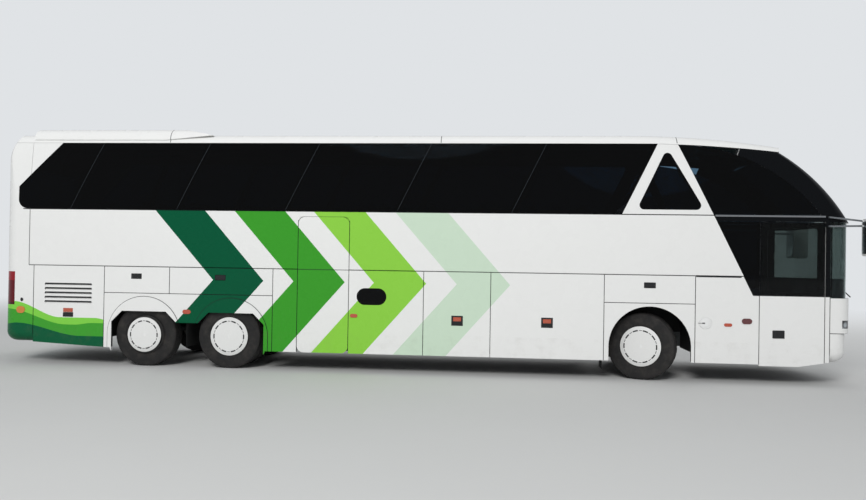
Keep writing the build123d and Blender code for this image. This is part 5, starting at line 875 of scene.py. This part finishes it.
# Small round port on each rear corner
PORT = (-6.517, 1.047)
PORT_PROFILE = [(-0.012, 0), (0.002, 0.0), (0.004, 0.022), (0.002, 0.03), (-0.012, 0.03)]
bm = bmesh.new()
for s in (RIGHT, LEFT):
    y = skin_y("rear_wall", s, *PORT)
    add_revolve(bm, (PORT[0], y, PORT[1]), (-0.18, s, 0), PORT_PROFILE, 28)
new_piece("rear_ports", bm, "coach_body", black_plastic_and_shade)

# Curved foot of the white frame
FRAME_FOOT = (3.075, 2.5505)
FRAME_FOOT_L = 0.1787
FRAME_FOOT_H = 0.17
FRAME_FOOT_BACK_X = 3.1705
bm = bmesh.new()
for s in (RIGHT, LEFT):
    loops = []
    for y in (s * (SIDE_Y - 0.0002), s * (SIDE_Y + 0.0008)):
        curve = []
        for step in range(9):
            t = step / 8
            x = FRAME_FOOT[0] + FRAME_FOOT_L * t * t + 0.012 * t * (1 - t)
            curve.append((x, y, FRAME_FOOT[1] + FRAME_FOOT_H * t))
        loops.append([(FRAME_FOOT_BACK_X, y, FRAME_FOOT[1])] + curve)
    add_loft(bm, loops)
new_piece("frame_feet", bm, "coach_body", paint)

# Mirror faces that look back, and mud flaps behind the front wheels and between the rear ones: the sides of
# a box that stands once on each side of the bus, as x0, x1, y0, y1, z0, z1 on the left
MIRROR_FACE = (6.6675, 6.6705, 1.325, 1.595, 1.985, 2.465)
FRONT_MUD_FLAP = (2.897, 2.905, 0.92, 1.2, 0.16, 0.375)
REAR_MUD_FLAP = (-3.722, -3.714, 0.56, 1.225, 0.33, 1.12)


def side_box(bm, s, sides, bevel):
    """Box on the left side of the bus, or its twin on the right."""
    x0, x1, near, far, z0, z1 = sides
    y0, y1 = sorted((s * near, s * far))
    add_box(bm, (x0, y0, z0), (x1, y1, z1), bevel)


bm = bmesh.new()
for s in (RIGHT, LEFT):
    side_box(bm, s, MIRROR_FACE, 0.0012)
new_piece("mirror_faces", bm, "coach_body", mirror_face)
bm = bmesh.new()
for s in (RIGHT, LEFT):
    side_box(bm, s, FRONT_MUD_FLAP, 0.002)
    side_box(bm, s, REAR_MUD_FLAP, 0.002)
new_piece("mud_flaps", bm, "coach_body", bellows)

# Floor, world and soft studio lamps
BACKDROP = lin(224, 227, 230)
SKY_TINT = (0.93, 0.96, 1.0, 1.0)
SKY_POWER = 0.5
FLOOR_R = 150
FADE_FROM, FADE_TO = 10.0, 30.0
floor_mesh = bpy.data.meshes.new("studio_floor")
bm = bmesh.new()
bmesh.ops.create_circle(bm, cap_ends=True, radius=FLOOR_R, segments=64)
bm.to_mesh(floor_mesh)
bm.free()
floor = bpy.data.objects.new("studio_floor", floor_mesh)
bpy.context.scene.collection.objects.link(floor)
ground = Mat("studio_ground")
patches = ground.span(ground.noise(0.6), 0.0, 0.3)
ground.set(Base_Color=ground.mix(patches, lin(206, 206, 204), lin(198, 198, 197)))
ground.set(Roughness=ground.span(ground.noise(3.0), 0.75, 0.9))
far = ground.node("ShaderNodeVectorMath")
far.operation = "LENGTH"
ground.link(ground.place, far.inputs[0])
fade = ground.step(far.outputs["Value"], FADE_FROM, FADE_TO)
glow = ground.node("ShaderNodeEmission")
glow.inputs[0].default_value = BACKDROP
rays = ground.node("ShaderNodeLightPath")
direct = ground.either(
    rays.outputs["Is Camera Ray"], rays.outputs["Is Glossy Ray"], rays.outputs["Is Transmission Ray"])
blend = ground.node("ShaderNodeMixShader")
surface_out = [n for n in ground.tree.nodes if n.type == "OUTPUT_MATERIAL"][0]
ground.link(ground.both(fade, direct), blend.inputs[0])
ground.link(ground.bsdf.outputs[0], blend.inputs[1])
ground.link(glow.outputs[0], blend.inputs[2])
ground.link(blend.outputs[0], surface_out.inputs[0])
floor_mesh.materials.append(ground.material)

world = bpy.data.worlds.new("studio")
bpy.context.scene.world = world
world.use_nodes = True
tree = world.node_tree
tree.nodes.clear()
out = tree.nodes.new("ShaderNodeOutputWorld")
path = tree.nodes.new("ShaderNodeLightPath")
seen = tree.nodes.new("ShaderNodeBackground")
seen.inputs[0].default_value = BACKDROP
seen.inputs[1].default_value = 1.0
light = tree.nodes.new("ShaderNodeBackground")
light.inputs[0].default_value = SKY_TINT
light.inputs[1].default_value = SKY_POWER
pick = tree.nodes.new("ShaderNodeMixShader")
shown = tree.nodes.new("ShaderNodeMath")
shown.operation = "MAXIMUM"
tree.links.new(path.outputs["Is Camera Ray"], shown.inputs[0])
tree.links.new(path.outputs["Is Transmission Ray"], shown.inputs[1])
tree.links.new(shown.outputs[0], pick.inputs[0])
tree.links.new(light.outputs[0], pick.inputs[1])
tree.links.new(seen.outputs[0], pick.inputs[2])
tree.links.new(pick.outputs[0], out.inputs[0])


def lamp(name, place, target, size, power):
    """Large soft lamp that faces a point and isn't mirrored in glass."""
    data = bpy.data.lights.new(name, "AREA")
    data.shape = "DISK"
    data.size = size
    data.energy = power
    obj = bpy.data.objects.new(name, data)
    obj.location = place
    obj.rotation_mode = "QUATERNION"
    obj.rotation_quaternion = (Vector(target) - Vector(place)).to_track_quat("-Z", "Y")
    obj.visible_glossy = False
    bpy.context.scene.collection.objects.link(obj)


lamp("key", (-3, -26, 17), (0, 0, 1.5), 10, 5200)
lamp("fill", (8, 24, 11), (0, 0, 1.5), 12, 2300)

# Camera at the photograph's place; focal length and shift are in pixels of a picture IMAGE_W wide
YAW, PITCH, ROLL = 0.08935, 0.00781, -0.01602
CAMERA_AT = (1.32, -12.975, 1.7061)
IMAGE_W = 866
FOCAL = 750
SHIFT = 10
SENSOR_W = 36
forward = Vector((-math.sin(YAW) * math.cos(PITCH), math.cos(YAW) * math.cos(PITCH), math.sin(PITCH)))
right = Vector((math.cos(YAW), math.sin(YAW), 0))
down = forward.cross(right)
image_right = right * math.cos(ROLL) + down * math.sin(ROLL)
image_down = down * math.cos(ROLL) - right * math.sin(ROLL)
camera_data = bpy.data.cameras.new("camera")
camera_data.sensor_width = SENSOR_W
camera_data.lens = FOCAL / IMAGE_W * SENSOR_W
camera_data.shift_y = SHIFT / IMAGE_W
camera = bpy.data.objects.new("camera", camera_data)
turn = Matrix((image_right, -image_down, -forward)).transposed().to_4x4()
camera.matrix_world = Matrix.Translation(CAMERA_AT) @ turn
bpy.context.scene.collection.objects.link(camera)
bpy.context.scene.camera = camera
bpy.context.scene.view_settings.view_transform = "Standard"
